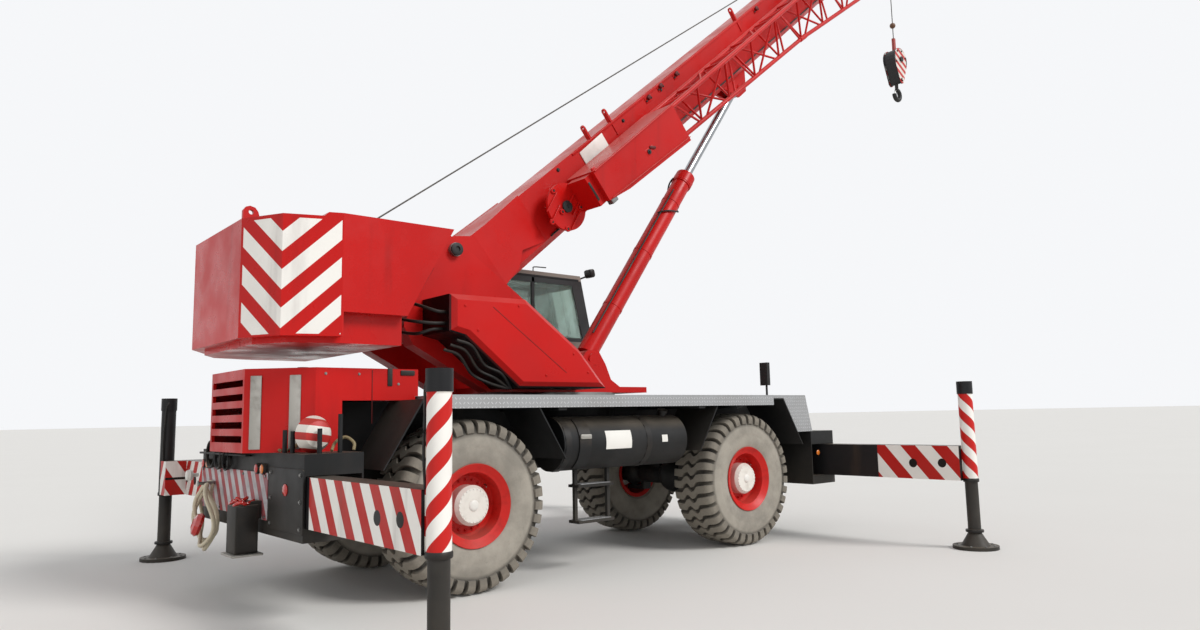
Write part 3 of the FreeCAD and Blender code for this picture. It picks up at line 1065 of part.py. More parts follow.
broken = [item.Label for item in doc.Objects if "Invalid" in item.State or "Error" in item.State]
if broken:
    raise RuntimeError(f"these did not build: {broken}")
os.makedirs("parts", exist_ok=True)
for item in NODES:
    shape = item.Shape
    if shape.isNull() or not shape.isValid() or not shape.Solids:
        raise RuntimeError(f"{item.Label} has no valid shape")
    shape.exportStep(os.path.join("parts", item.Label + ".step"))
    span = shape.BoundBox
    print(f"{item.Label:28s} {len(shape.Solids)} solids {shape.Volume / 1e9:9.4f} m3  "
          f"x {span.XMin:8.0f} {span.XMax:8.0f}  y {span.YMin:7.0f} {span.YMax:7.0f}  "
          f"z {span.ZMin:7.0f} {span.ZMax:7.0f}")
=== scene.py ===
"""A two-axle rough-terrain crane on its outriggers, with its boom raised and its jib stowed.

Every place is in metres. Places in the tables are measured from the slew axis, X forward, Y to
the left and Z up from the ground. at() and on_boom() turn them into the model's frame.
"""
import math

import bpy
import numpy as np
from mathutils import Matrix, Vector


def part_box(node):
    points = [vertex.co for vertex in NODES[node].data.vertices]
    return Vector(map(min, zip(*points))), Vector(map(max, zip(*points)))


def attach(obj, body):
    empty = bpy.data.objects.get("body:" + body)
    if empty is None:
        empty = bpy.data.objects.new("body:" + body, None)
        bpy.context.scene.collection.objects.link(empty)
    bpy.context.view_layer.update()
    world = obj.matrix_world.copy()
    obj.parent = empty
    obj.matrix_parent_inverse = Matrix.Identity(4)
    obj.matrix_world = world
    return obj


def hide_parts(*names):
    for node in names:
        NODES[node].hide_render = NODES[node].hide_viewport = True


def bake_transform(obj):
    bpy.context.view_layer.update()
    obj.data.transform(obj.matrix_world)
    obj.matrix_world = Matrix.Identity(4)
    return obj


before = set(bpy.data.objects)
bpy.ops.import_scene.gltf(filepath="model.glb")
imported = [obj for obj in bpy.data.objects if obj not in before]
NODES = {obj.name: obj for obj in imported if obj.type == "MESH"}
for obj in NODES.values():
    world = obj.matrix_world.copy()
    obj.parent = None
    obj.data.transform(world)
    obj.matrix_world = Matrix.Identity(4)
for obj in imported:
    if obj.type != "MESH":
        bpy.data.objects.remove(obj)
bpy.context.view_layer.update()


def middle(node):
    """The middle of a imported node's box."""
    low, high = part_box(node)
    return (np.array(low) + np.array(high)) / 2


SLEW_X = middle("turntable_ring")[0]
FOOT = middle("boom_foot_pin")
BOOM_ANGLE = math.radians(40)
ALONG = np.array([math.cos(BOOM_ANGLE), 0, math.sin(BOOM_ANGLE)])
ABOVE = np.array([-math.sin(BOOM_ANGLE), 0, math.cos(BOOM_ANGLE)])
ACROSS = np.array([0, 1.0, 0])


def at(x, y, z):
    """A place measured from the slew axis, in the model's frame."""
    return np.array([x + SLEW_X, y, z])


def on_boom(u, y, v):
    """A place u along the boom and v above its foot pin's line, in the model's frame."""
    return FOOT + u * ALONG + y * ACROSS + v * ABOVE


# Shader values


def linear(code):
    """A colour of six hexadecimal digits, as the shader's linear red, green, blue and alpha."""
    parts = [int(code[k:k + 2], 16) / 255 for k in (1, 3, 5)]
    return (*[p / 12.92 if p <= 0.04045 else ((p + 0.055) / 1.055) ** 2.4 for p in parts], 1)


class Wire:
    """A shader socket's value, which takes part in plain sums."""

    def __init__(self, tree, socket):
        self.tree, self.socket = tree, socket

    def join(self, operation, other, turned=False):
        """A Math node on this value and another, the other first where turned is set."""
        first, second = (other, self) if turned else (self, other)
        return self.tree.node("ShaderNodeMath", {"operation": operation}, {0: first, 1: second})

    def __add__(self, other):
        return self.join("ADD", other)

    __radd__ = __add__

    def __sub__(self, other):
        return self.join("SUBTRACT", other)

    def __rsub__(self, other):
        return self.join("SUBTRACT", other, True)

    def __mul__(self, other):
        return self.join("MULTIPLY", other)

    __rmul__ = __mul__

    def __truediv__(self, other):
        return self.join("DIVIDE", other)

    def __gt__(self, other):
        return self.join("GREATER_THAN", other)

    def __lt__(self, other):
        return self.join("LESS_THAN", other)

    def size(self):
        return self.join("ABSOLUTE", 0.0)

    def larger(self, other):
        return self.join("MAXIMUM", other)

    def smaller(self, other):
        return self.join("MINIMUM", other)

    def part(self):
        return self.join("FRACT", 0.0)


class Tree:
    """A node tree and the few ways that this scene adds to it."""

    def __init__(self, tree):
        self.tree = tree
        tree.nodes.clear()

    def node(self, kind, settings=None, inputs=None, output=0):
        """Adds a node: its settings first, then its sockets' values or links.

        What comes back is the value of one output, by its number or name, if the node has any.
        """
        made = self.tree.nodes.new(kind)
        for name, value in (settings or {}).items():
            setattr(made, name, value)
        for name, value in (inputs or {}).items():
            if isinstance(value, Wire):
                self.tree.links.new(value.socket, made.inputs[name])
            else:
                made.inputs[name].default_value = value
        return Wire(self, made.outputs[output]) if made.outputs else None

    def mix(self, factor, first, second):
        """The first colour where the factor is 0 and the second where it is 1."""
        shades = [linear(c) if isinstance(c, str) else c for c in (first, second)]
        return self.node("ShaderNodeMix", {"data_type": "RGBA"},
                         {0: factor, 6: shades[0], 7: shades[1]}, 2)

    def step(self, value, low, high):
        """0 below low, 1 above high, and a soft step between; low above high turns it round."""
        return self.node("ShaderNodeMapRange", {"interpolation_type": "SMOOTHSTEP"},
                         {0: value, 1: low, 2: high})

    def split(self, vector):
        """The three numbers of a vector."""
        made = self.node("ShaderNodeSeparateXYZ", {}, {0: vector}).socket.node
        return [Wire(self, part) for part in made.outputs]


class Finish(Tree):
    """A material: places, noise and light for one kind of surface, closed by cover()."""

    def __init__(self, name):
        self.material = bpy.data.materials.new(name)
        self.material.use_nodes = True
        super().__init__(self.material.node_tree)
        self.place = self.node("ShaderNodeTexCoord", output=3)
        self.x, self.y, self.z = self.split(self.place)
        self.facing = self.node("ShaderNodeNewGeometry", output=1)

    def bands(self, value, wide=0.262, narrow=0.246):
        """1 on the middle half of each whole step of a value, 0 between, with soft edges."""
        return self.step((value.part() - 0.5).size(), wide, narrow)

    def noise(self, scale, detail=3, rough=0.55, stretch=(1, 1, 1)):
        """Cloudy noise about 0.5, drawn out along an axis where stretch is below 1."""
        spot = self.place
        if stretch != (1, 1, 1):
            spot = self.node("ShaderNodeMapping", {}, {0: self.place, 3: stretch})
        return self.node("ShaderNodeTexNoise", {}, {"Vector": spot, "Scale": scale,
                                                    "Detail": detail, "Roughness": rough})

    def number(self, label):
        """A number that the piece's own mesh holds at its points."""
        return self.node("ShaderNodeAttribute", {"attribute_name": label}, output=2)

    def normal(self):
        """The three numbers of the surface's own direction."""
        spaces = {"vector_type": "NORMAL", "convert_from": "WORLD", "convert_to": "OBJECT"}
        return self.split(self.node("ShaderNodeVectorTransform", spaces, {0: self.facing}))

    def bump(self, height, strength, distance):
        """A relief whose full height is the distance."""
        return self.node("ShaderNodeBump", {}, {"Strength": strength, "Distance": distance,
                                                "Height": height})

    def cover(self, colour, rough, metal=0.0, normal=None, **constants):
        """Ends the material in a surface of that colour, roughness, metal share and relief."""
        sockets = {"Base Color": linear(colour) if isinstance(colour, str) else colour,
                   "Roughness": rough, "Metallic": metal}
        if normal is not None:
            sockets["Normal"] = normal
        sockets.update({name.replace("_", " "): value for name, value in constants.items()})
        surface = self.node("ShaderNodeBsdfPrincipled", {}, sockets)
        self.node("ShaderNodeOutputMaterial", {}, {"Surface": surface})
        return self.material


# Paints

RED, DULL_RED, PINK, BAND_RED = "#c4120e", "#b50f0c", "#d9827b", "#b81f1a"
# The third of these is the near-black of painted shade, put inside holes and hollows.
WHITE, BLACK, SHADE_BLACK, DUST = "#f1ede6", "#141516", "#0b0b0c", "#857a6b"


def weathered(finish, colour, dust=0.35, streaks=0.22, grime="#4a1512"):
    """A paint's colour with faded tops, dirt run down its sides, and dust where it faces up."""
    nz = finish.normal()[2]
    patches = finish.step(finish.noise(0.9, 4), 0.42, 0.68)
    upright = 1 - nz.size()
    runs = finish.step(finish.noise(3.2, 4, 0.6, (1, 1, 0.12)), 0.56, 0.78) * upright
    specks = finish.step(finish.noise(110, 2, 0.7), 0.72, 0.78)
    tops = finish.step(nz, 0.35, 0.95) * (0.55 + 0.6 * patches)
    shade = finish.mix(patches * 0.1, colour, grime)
    shade = finish.mix(runs * streaks, shade, grime)
    shade = finish.mix(specks * 0.25, shade, grime)
    return finish.mix(tops.smaller(1.0) * dust, shade, DUST)


def painted_relief(finish, strength=0.25):
    """Rolled plate: long shallow waves with a fine orange-peel skin over them."""
    waves = finish.noise(1.3, 2) + finish.noise(150, 1) * 0.02
    return finish.bump(waves, strength, 0.01)


def paint_rough(finish, low=0.26, high=0.5):
    """Gloss that varies in clouds between two roughnesses."""
    return low + (high - low) * finish.step(finish.noise(2.4, 4), 0.3, 0.7)


def painted(finish, colour, wear, rough=(0.26, 0.5), shine=0.25):
    """Ends a paint: wear holds its dust, its streaks and, if not the usual one, its grime."""
    return finish.cover(weathered(finish, colour, *wear), paint_rough(finish, *rough), 0.0,
                        painted_relief(finish), Specular_IOR_Level=shine)


def clouded_red(finish):
    """Bright red with clouds of a duller one."""
    return finish.mix(finish.step(finish.noise(0.6, 3), 0.35, 0.7), RED, DULL_RED)


def red_paint():
    """Bright red machine paint, a little faded, pinkish where it faces the sky: chalky fading
    together with a painted highlight of the sky's sheen.
    """
    f = Finish("red_paint")
    # Faces that point up are mixed towards pink: chalky fading and a painted sky highlight
    # together.
    base = f.mix(f.step(f.normal()[2], 0.5, 0.9) * 0.45, clouded_red(f), PINK)
    return painted(f, base, (0.16, 0.25), shine=0.22)


def black_paint():
    """Satin black paint under road dust, thicker towards the ground."""
    f = Finish("black_paint")
    base = f.mix(f.step(f.noise(1.7, 4), 0.4, 0.75) * 0.5, BLACK, "#2b2b2c")
    low = f.step(f.z, 1.5, 0.3) * 0.25
    shade = f.mix(low * f.noise(3, 4), weathered(f, base, 0.55, 0.25, "#3b342c"), DUST)
    return f.cover(shade, 0.42 + 0.25 * f.noise(5, 3), 0.0, painted_relief(f),
                   Specular_IOR_Level=0.25)


def plain_paint(name, colour, rough=(0.35, 0.55), dust=0.25, grime="#5a4c3c", coat=0.0):
    """Any other sprayed or moulded colour, with the same dust and dirt."""
    f = Finish(name)
    base = f.mix(f.step(f.noise(4, 4), 0.4, 0.75) * 0.18, colour, grime)
    return f.cover(weathered(f, base, dust, 0.2, grime), paint_rough(f, *rough), 0.0,
                   painted_relief(f, 0.15), Coat_Weight=coat, Specular_IOR_Level=0.3)


def tail_finish():
    """The counterweight: red, with white chevrons that rise from the knee on both rear facets."""
    f = Finish("counterweight_paint")
    knee, rear, side = -3.9 + SLEW_X, -4.12 + SLEW_X, -3.42 + SLEW_X
    reach = ((knee - f.x) * 2.115).larger((f.x - knee) * 1.061)
    phase = ((f.z - 2.48 - 0.94 * reach) / 0.3375).part()
    white = f.step((phase - 0.265).size(), 0.27, 0.258)
    margin, bottom, top = 0.012, 2.438, 3.462
    panel = ((f.x > rear + margin) * (f.x < side - margin) * (f.y.size() > 0.738)
             * (f.z > bottom) * (f.z < top))
    stripes = white * panel * (1 - f.step(f.normal()[2].size(), 0.3, 0.5))
    return painted(f, f.mix(stripes, clouded_red(f), WHITE), (0.22, 0.25), (0.2, 0.42))


HOLE_RADIUS, CASING_RADIUS = 0.055, 0.0935


def beam_finish(name, jack, start, slope, period, turn, holes, jack_in_light):
    """An outrigger beam: black inside, slanting red and white bands outside and round a jack in
    light; its holes are painted near-black and a far jack's casing dark grey, both as painted
    shade.
    """
    f = Finish(name)
    away = f.y.size()
    nx, ny, _ = f.normal()
    ends = f.step(ny.size(), 0.6, 0.8) * (away < 3.2)
    faces = f.step(nx.size(), 0.6, 0.8).larger(ends)
    bands = f.mix(f.bands((away + slope * f.z + 0.9 * ends * f.x) / period), BAND_RED, WHITE)
    outside = f.step(away, start - 0.004, start + 0.004) * faces
    shade = f.mix(outside, "#1a1a1c", bands)
    # Each hole is painted as a near-black disc: painted shade inside the hole.
    for far, high in holes:
        reach = (away - far) * (away - far) + (f.z - high) * (f.z - high)
        shade = f.mix((reach < HOLE_RADIUS ** 2) * faces, shade, SHADE_BLACK)
    from_jack_x, from_jack_y = f.x - jack[0], f.y - jack[1]
    reach = from_jack_x * from_jack_x + from_jack_y * from_jack_y
    around = f.node("ShaderNodeMath", {"operation": "ARCTAN2"}, {0: from_jack_y, 1: from_jack_x})
    # A jack in light shows its spiral bands; a far jack's casing is painted dark grey as painted
    # shade.
    if jack_in_light:
        casing = f.mix(f.bands(f.z / 0.264 + turn * (around / math.pi)), "#c41f1a", WHITE)
    else:
        casing = f.mix(f.noise(3, 2) * 0.4, "#1c1c1e", "#2c2b2a")
    casing = f.mix(f.z > 1.8555, casing, "#19191b")
    shade = f.mix(reach < CASING_RADIUS ** 2, shade, casing)
    return painted(f, shade, (0.5, 0.35, "#4a3a2e"), (0.3, 0.55))


def checker_finish():
    """Worn aluminium tread plate: short raised bars that lean left and right in turn."""
    f = Finish("checker_plate")
    nz = f.normal()[2]
    flat, pitch = f.step(nz.size(), 0.5, 0.6), 0.045
    sideways = f.node("ShaderNodeMix", {"data_type": "FLOAT"}, {0: flat, 2: f.z, 3: f.y})
    column, row = f.x / pitch, sideways / pitch
    sign = 1 - 2 * (((column.join("FLOOR", 0.0) + row.join("FLOOR", 0.0)) / 2).part() > 0.25)
    a, b = column.part() - 0.5, row.part() - 0.5
    along, over = (a + b * sign) * 0.707, (a * sign - b) * 0.707
    bar = f.step((along * along) / 0.16 + (over * over) / 0.012, 1.15, 0.75)
    grime = f.step(f.noise(1.4, 5, 0.7), 0.3, 0.85)
    base = f.mix(grime * 0.4, "#a4a5a6", "#77726a")
    shade = f.mix(bar * 0.7, base, "#d4d5d6")
    shade = f.mix(f.step(nz, 0.5, 0.9) * (0.15 + 0.2 * grime), shade, DUST)
    return f.cover(shade, 0.38 + 0.2 * grime, 0.45, f.bump(bar + 0.05 * f.noise(60, 2), 0.8, 0.006))


def rubber_finish():
    """Tyre rubber, dark between the lugs and grey with dried mud on the wall and the lugs."""
    f = Finish("tyre_rubber")
    lug = f.number("lug")
    wall = f.number("wall")
    mud = f.step(f.noise(2.6, 5, 0.65), 0.28, 0.72)
    fine = f.noise(38, 4, 0.7)
    base = f.mix(mud * 0.8, "#2f2d2a", "#5c564c")
    shade = f.mix(wall * (0.6 + 0.4 * mud), base, "#a39c90")
    shade = f.mix(lug * (0.45 + 0.5 * fine), shade, "#958d80")
    shade = f.mix(f.step(fine, 0.58, 0.8) * 0.3, shade, "#4a463f")
    return f.cover(shade, 0.82 + 0.1 * fine, 0.0, f.bump(fine, 0.35, 0.004))


HUB_Y = 1.03


def rim_finish(name, axle, side):
    """A red dished rim with a white hub cap and dirt round it."""
    f = Finish(name)
    over_x, over_z = f.x - axle[0], f.z - axle[1]
    reach = (over_x * over_x + over_z * over_z).join("SQRT", 0.0)
    cap = f.step(reach, 0.198, 0.192)
    stains = f.step(f.noise(9, 4), 0.45, 0.8)
    red = f.mix(stains * 0.5, "#c81f1a", "#7c1713")
    cap_shade = f.mix(stains * 0.35, "#e6e1d8", "#9c8f7e")
    shade = f.mix(cap * (f.y * side > HUB_Y), red, cap_shade)
    return painted(f, shade, (0.3, 0.2, "#5b3a2c"), (0.3, 0.55))


def metal_finish(name, colour, rough, metal=1.0, stretch=(1, 1, 1), grime="#3a3128", amount=0.5):
    """Bare metal, brushed or cast, with grime in its clouds."""
    f = Finish(name)
    stains = f.step(f.noise(6, 5, 0.6), 0.45, 0.8)
    lines = f.noise(120, 2, 0.6, stretch)
    shade = f.mix(stains * amount, colour, grime)
    return f.cover(shade, rough + 0.2 * stains, metal - 0.4 * stains, f.bump(lines, 0.12, 0.002))


def rope_finish(name, colour, grime, pitch=0.05, metal=0.4):
    """Laid wire or fibre: strands that wind round, read from the rope's own length and turn."""
    f = Finish(name)
    from_middle = ((f.number("run") / pitch + f.number("turn")) * 6).part() - 0.5
    ridge = 1 - 4 * from_middle * from_middle
    return f.cover(f.mix(ridge * 0.7, grime, colour), 0.55, metal, f.bump(ridge, 0.7, 0.002))


def glass_finish():
    """Green tinted glass with a little dust in cloudy patches."""
    f = Finish("cab_glazing")
    dust = f.step(f.noise(7, 5), 0.55, 0.85)
    shade = f.mix(dust * 0.25, "#b7d3c6", "#8f9a8c")
    return f.cover(shade, 0.03 + 0.2 * dust, Transmission_Weight=0.82, IOR=1.45, Alpha=0.62)


def block_finish():
    """The hook block: red and white stripes on its cheeks, black round them, bare rope above."""
    f = Finish("hook_block_paint")
    over, up = f.x - middle("hook")[0], f.z - (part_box("hook")[1][2] + 0.48)
    cheek = (f.y.size() > 0.104) * (up < 0.235)
    face = f.mix(f.bands((over * 0.55 + up) / 0.16), "#b8201b", "#ddd8cf")
    rim = f.step(over.size(), 0.205, 0.2)
    shade = f.mix(cheek * f.step(f.normal()[1].size(), 0.6, 0.8) * rim, "#1d1d1f", face)
    shade = f.mix((up > 0.24) * (up < 0.5), shade, "#a8433c")
    weight = (up > 0.7) * (up < 0.84) * (over.size() > 0.012).larger(f.y.size() > 0.012)
    shade = f.mix((up > 0.5) * (1 - weight), shade, "#4a4744")
    shade = f.mix(weight, shade, "#6a4a34")
    return f.cover(weathered(f, shade, 0.15, 0.3, "#33261d"), 0.5, 0.1, painted_relief(f))


def ball_finish():
    """The spare ball: worn red and white bands round it."""
    f = Finish("overhaul_ball_paint")
    up, over = f.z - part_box("overhaul_ball")[0][2], f.x - middle("overhaul_ball")[0]
    shade = f.mix(f.bands((up + 0.15 * over) / 0.13, 0.27, 0.24), "#b3231d", "#dcd6cc")
    return f.cover(weathered(f, shade, 0.3, 0.4, "#4a3429"), 0.5, 0.0, painted_relief(f))


def valve_finish():
    """The valve housing: red outside, with its open rear side in black shade."""
    f = Finish("valve_housing_paint")
    nx, _, nz = f.normal()
    inboard = f.y > -1.155
    hollow = (f.step(nx, -0.55, -0.75) * inboard).larger(f.step(nz, -0.35, -0.6) * inboard)
    shade = f.mix(hollow, weathered(f, clouded_red(f), 0.16, 0.25), SHADE_BLACK)
    return f.cover(shade, paint_rough(f), 0.0, painted_relief(f), Specular_IOR_Level=0.22)


def cab_finish():
    """The cab's shell: beige-grey roof and lower panels, with black frames round its windows."""
    f = Finish("beige_paint")
    frames = f.step(f.z, 2.7, 2.71) * f.step(f.z, 3.57, 3.56)
    base = f.mix(f.step(f.noise(2, 4), 0.4, 0.7) * 0.3, "#8d857b", "#746c62")
    return painted(f, f.mix(frames, base, "#1e1f20"), (0.3, 0.25, "#4f463c"), (0.35, 0.55), 0.5)


PAINTS = {
    "red": red_paint(), "black": black_paint(),
    "soot": plain_paint("black_parts", "#161617", dust=0.3),
    "tail": tail_finish(), "checker": checker_finish(), "rubber": rubber_finish(),
    "steel": metal_finish("grey_steel", "#8f8f8d", 0.35, stretch=(1, 0.1, 1)),
    "zinc": metal_finish("zinc_strip", "#a5a29b", 0.45, 0.7, grime="#5e574c"),
    "chrome": metal_finish("chrome_rod", "#9ea1a4", 0.2, stretch=(0.2, 1, 0.2), grime="#4a3a2c",
                           amount=0.25),
    "cast": metal_finish("cast_black", "#242424", 0.6, 0.3, grime="#4f463b"),
    "glass": glass_finish(), "vinyl": plain_paint("seat_vinyl", "#18181a", (0.5, 0.7), 0.1),
    "plastic": plain_paint("console_plastic", "#232325", (0.5, 0.7), 0.15),
    "beige": cab_finish(), "block": block_finish(), "ball": ball_finish(),
    "valve": valve_finish(),
    "white": plain_paint("white_plate", "#e9e6df", (0.3, 0.5), 0.1, "#8a8276"),
    "lamp_red": plain_paint("red_lens", "#c21712", (0.1, 0.2), 0.0, coat=0.8),
    "amber": plain_paint("amber_lens", "#e0761a", (0.1, 0.2), 0.0, coat=0.8),
    "lens": plain_paint("clear_lens", "#d7dbdc", (0.05, 0.15), 0.0, coat=1.0),
    "hose": plain_paint("black_hose", "#151516", (0.4, 0.6), 0.15),
    "wire": rope_finish("wire_rope", "#77746d", "#2b2926"),
    "sling": rope_finish("cream_sling", "#efe6cf", "#b3a585", 0.09, 0.0),
    "twine": rope_finish("old_hose", "#a3936b", "#5d5238", 0.12, 0.0),
    "maroon": plain_paint("dark_red_paint", "#5c1210", (0.4, 0.6), 0.2, "#2c0d0b"),
}


# Mesh pieces


def lay(name, body, paint, grids, wrap=True, ends=True, loop=False, smooth=40, numbers=None):
    """Makes one mesh of grids of points, each of rows and columns, as a surface of two parameters.

    A column of points joins the next, round to the first where wrap is set. The first and last rows
    are closed by a face, or joined to each other where loop is set. Faces are turned so that the
    volume that they enclose is positive.
    """
    grids = np.asarray(grids, float)
    if grids.ndim == 3:
        grids = grids[None]
    count, rows, columns = grids.shape[:3]
    across = columns if wrap else columns - 1
    r, c = np.meshgrid(np.arange(rows if loop else rows - 1), np.arange(across), indexing="ij")
    right, above = (c + 1) % columns, (r + 1) % rows
    quads = np.stack([r * columns + c, r * columns + right, above * columns + right,
                      above * columns + c], -1).reshape(-1, 4)
    corner = grids[0].reshape(-1, 3)
    corner = corner - corner.mean(0)
    p = corner[quads]
    volume = np.einsum("ij,ij->i", p[:, 0], np.cross(p[:, 1], p[:, 2])).sum()
    volume += np.einsum("ij,ij->i", p[:, 0], np.cross(p[:, 2], p[:, 3])).sum()
    caps = [np.arange(columns)[::-1], np.arange(columns) + (rows - 1) * columns]
    caps = caps if ends and wrap and not loop else []
    if volume < 0:
        quads, caps = quads[:, ::-1], [cap[::-1] for cap in caps]
    offsets = np.arange(count) * rows * columns
    faces = (quads[None] + offsets[:, None, None]).reshape(-1, 4).tolist()
    for cap in caps:
        faces += (cap[None] + offsets[:, None]).tolist()
    mesh = bpy.data.meshes.new(name)
    mesh.from_pydata(grids.reshape(-1, 3).tolist(), [], faces)
    mesh.polygons.foreach_set("use_smooth", np.ones(len(mesh.polygons), bool))
    mesh.set_sharp_from_angle(angle=math.radians(smooth))
    for label, values in (numbers or {}).items():
        made = mesh.attributes.new(label, "FLOAT", "POINT")
        made.data.foreach_set("value", np.asarray(values, np.float32).ravel())
    mesh.materials.append(PAINTS[paint] if isinstance(paint, str) else paint)
    mesh.update()
    piece = bpy.data.objects.new(name, mesh)
    bpy.context.scene.collection.objects.link(piece)
    if body:
        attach(piece, body)
    return piece


def frame_of(axis, hint=(0, 0, 1)):
    """Two directions square to an axis and to each other."""
    axis = np.asarray(axis, float) / np.linalg.norm(axis)
    if abs(axis @ np.asarray(hint, float)) > 0.95:
        hint = (1, 0, 0)
    first = np.cross(hint, axis)
    first /= np.linalg.norm(first)
    return axis, first, np.cross(axis, first)


def turned(name, body, paint, centre, axis, profile, sides=32, smooth=40, ring=False):
    """A turned piece from a profile of (radius, height) rows; a ring's profile closes on itself.

    Each row is a circle: centre + axis times height + radius (cos t first + sin t second).
    """
    axis, first, second = frame_of(axis)
    radius, height = np.array(profile, float).T
    turn = np.linspace(0, 2 * np.pi, sides, endpoint=False)
    circle = np.cos(turn)[:, None] * first + np.sin(turn)[:, None] * second
    shape = radius[:, None, None] * circle[None] + height[:, None, None] * axis
    return lay(name, body, paint, centre + shape, loop=ring, smooth=smooth)


def bolts(name, body, paint, centres, axis, radius=0.016, rise=0.014):
    """Hexagon heads on washers: a washer's circle, then a six-sided head with a bevelled top."""
    axis, first, second = frame_of(axis)
    turn = np.linspace(0, 2 * np.pi, 12, endpoint=False)
    hexagon = np.cos(np.pi / 6) / np.cos((turn + np.pi / 6) % (np.pi / 3) - np.pi / 6)
    rows = [(1.35, 0, 0), (1.35, 0.25, 0), (1.0, 0.25, 1), (1.0, 0.85, 1), (0.86, 1.0, 1)]
    ring = np.cos(turn)[:, None] * first + np.sin(turn)[:, None] * second
    shape = np.stack([(r * radius * (hexagon if hexed else np.ones(12)))[:, None] * ring
                      + h * rise * axis for r, h, hexed in rows])
    grids = np.asarray(centres, float).reshape(-1, 1, 1, 3) + shape[None]
    return lay(name, body, paint, grids, smooth=30)


def slab(name, body, paint, centres, along, across, size, edge=0.004, corner=0.012):
    """Plates with rounded corners and softened edges, all of one size, one at each centre.

    Each is a stack of rounded rectangles, inset by edge below, full between and inset again above.
    A corner's points are the half size less the corner's radius, plus radius (cos t, sin t).
    """
    along = np.asarray(along, float) / np.linalg.norm(along)
    across = np.asarray(across, float) / np.linalg.norm(across)
    over = np.cross(along, across)
    centres = np.asarray(centres, float).reshape(-1, 1, 3)
    half_a, half_b, thick = size[0] / 2, size[1] / 2, size[2]
    edge = min(edge, thick / 2.2)
    levels = [(edge, -thick / 2), (edge * 0.3, -thick / 2 + edge * 0.3), (0, -thick / 2 + edge),
              (0, thick / 2 - edge), (edge * 0.3, thick / 2 - edge * 0.3), (edge, thick / 2)]
    quarter = np.linspace(0, np.pi / 2, 4)
    turn = np.concatenate([quarter + k * np.pi / 2 for k in range(4)])
    side_a, side_b = np.repeat([1, -1, -1, 1], 4), np.repeat([1, 1, -1, -1], 4)
    rings = []
    for inset, level in levels:
        radius = max(corner - inset, 0.0005)
        a = side_a * (half_a - inset - radius) + radius * np.cos(turn)
        b = side_b * (half_b - inset - radius) + radius * np.sin(turn)
        rings.append(centres + a[:, None] * along + b[:, None] * across + level * over)
    return lay(name, body, paint, np.stack(rings, 1), smooth=35)


def smooth_path(points, steps=12):
    """A curve through the points: each span is a cubic whose ends lean along their neighbours."""
    p = np.asarray(points, float)
    padded = np.vstack([2 * p[0] - p[1], p, 2 * p[-1] - p[-2]])
    t = np.linspace(0, 1, steps, endpoint=False)[None, :, None]
    a, b, c, d = (padded[k:k + len(p) - 1, None, :] for k in range(4))
    spans = 0.5 * ((2 * b) + (c - a) * t + (2 * a - 5 * b + 4 * c - d) * t ** 2
                   + (3 * b - a - 3 * c + d) * t ** 3)
    return np.vstack([spans.reshape(-1, 3), p[-1:]])


def tube_grid(path, radius, sides=10, hint=(0, 0, 1)):
    """Circles of a radius square to a path: path + radius (cos t side + sin t other)."""
    path = np.asarray(path, float)
    run = np.gradient(path, axis=0)
    run /= np.linalg.norm(run, axis=1)[:, None]
    side = np.cross(np.asarray(hint, float), run)
    weak = np.linalg.norm(side, axis=1) < 0.05
    side[weak] = np.cross((0.3, 1, 0), run[weak])
    side /= np.linalg.norm(side, axis=1)[:, None]
    other = np.cross(run, side)
    turn = np.linspace(0, 2 * np.pi, sides, endpoint=False)
    ring = (np.cos(turn)[None, :, None] * side[:, None]
            + np.sin(turn)[None, :, None] * other[:, None])
    return path[:, None] + radius * ring


def pipe(name, body, paint, points, radius, sides=10, steps=12, hint=(0, 0, 1)):
    """A pipe, hose or rope along a smooth curve through the points."""
    path = smooth_path(points, steps) if steps else np.asarray(points, float)
    grid = tube_grid(path, radius, sides, hint)
    length = np.concatenate([[0], np.cumsum(np.linalg.norm(np.diff(path, axis=0), axis=1))])
    turn = np.linspace(0, 1, sides, endpoint=False)
    numbers = {"run": np.repeat(length, sides), "turn": np.tile(turn, len(path))}
    return lay(name, body, paint, grid, numbers=numbers)


# Wheels

LUGS, LUG_DEPTH = 36, 0.046
ENDS = (("rear", -1), ("front", 1))
WAYS = (("right", -1), ("left", 1))


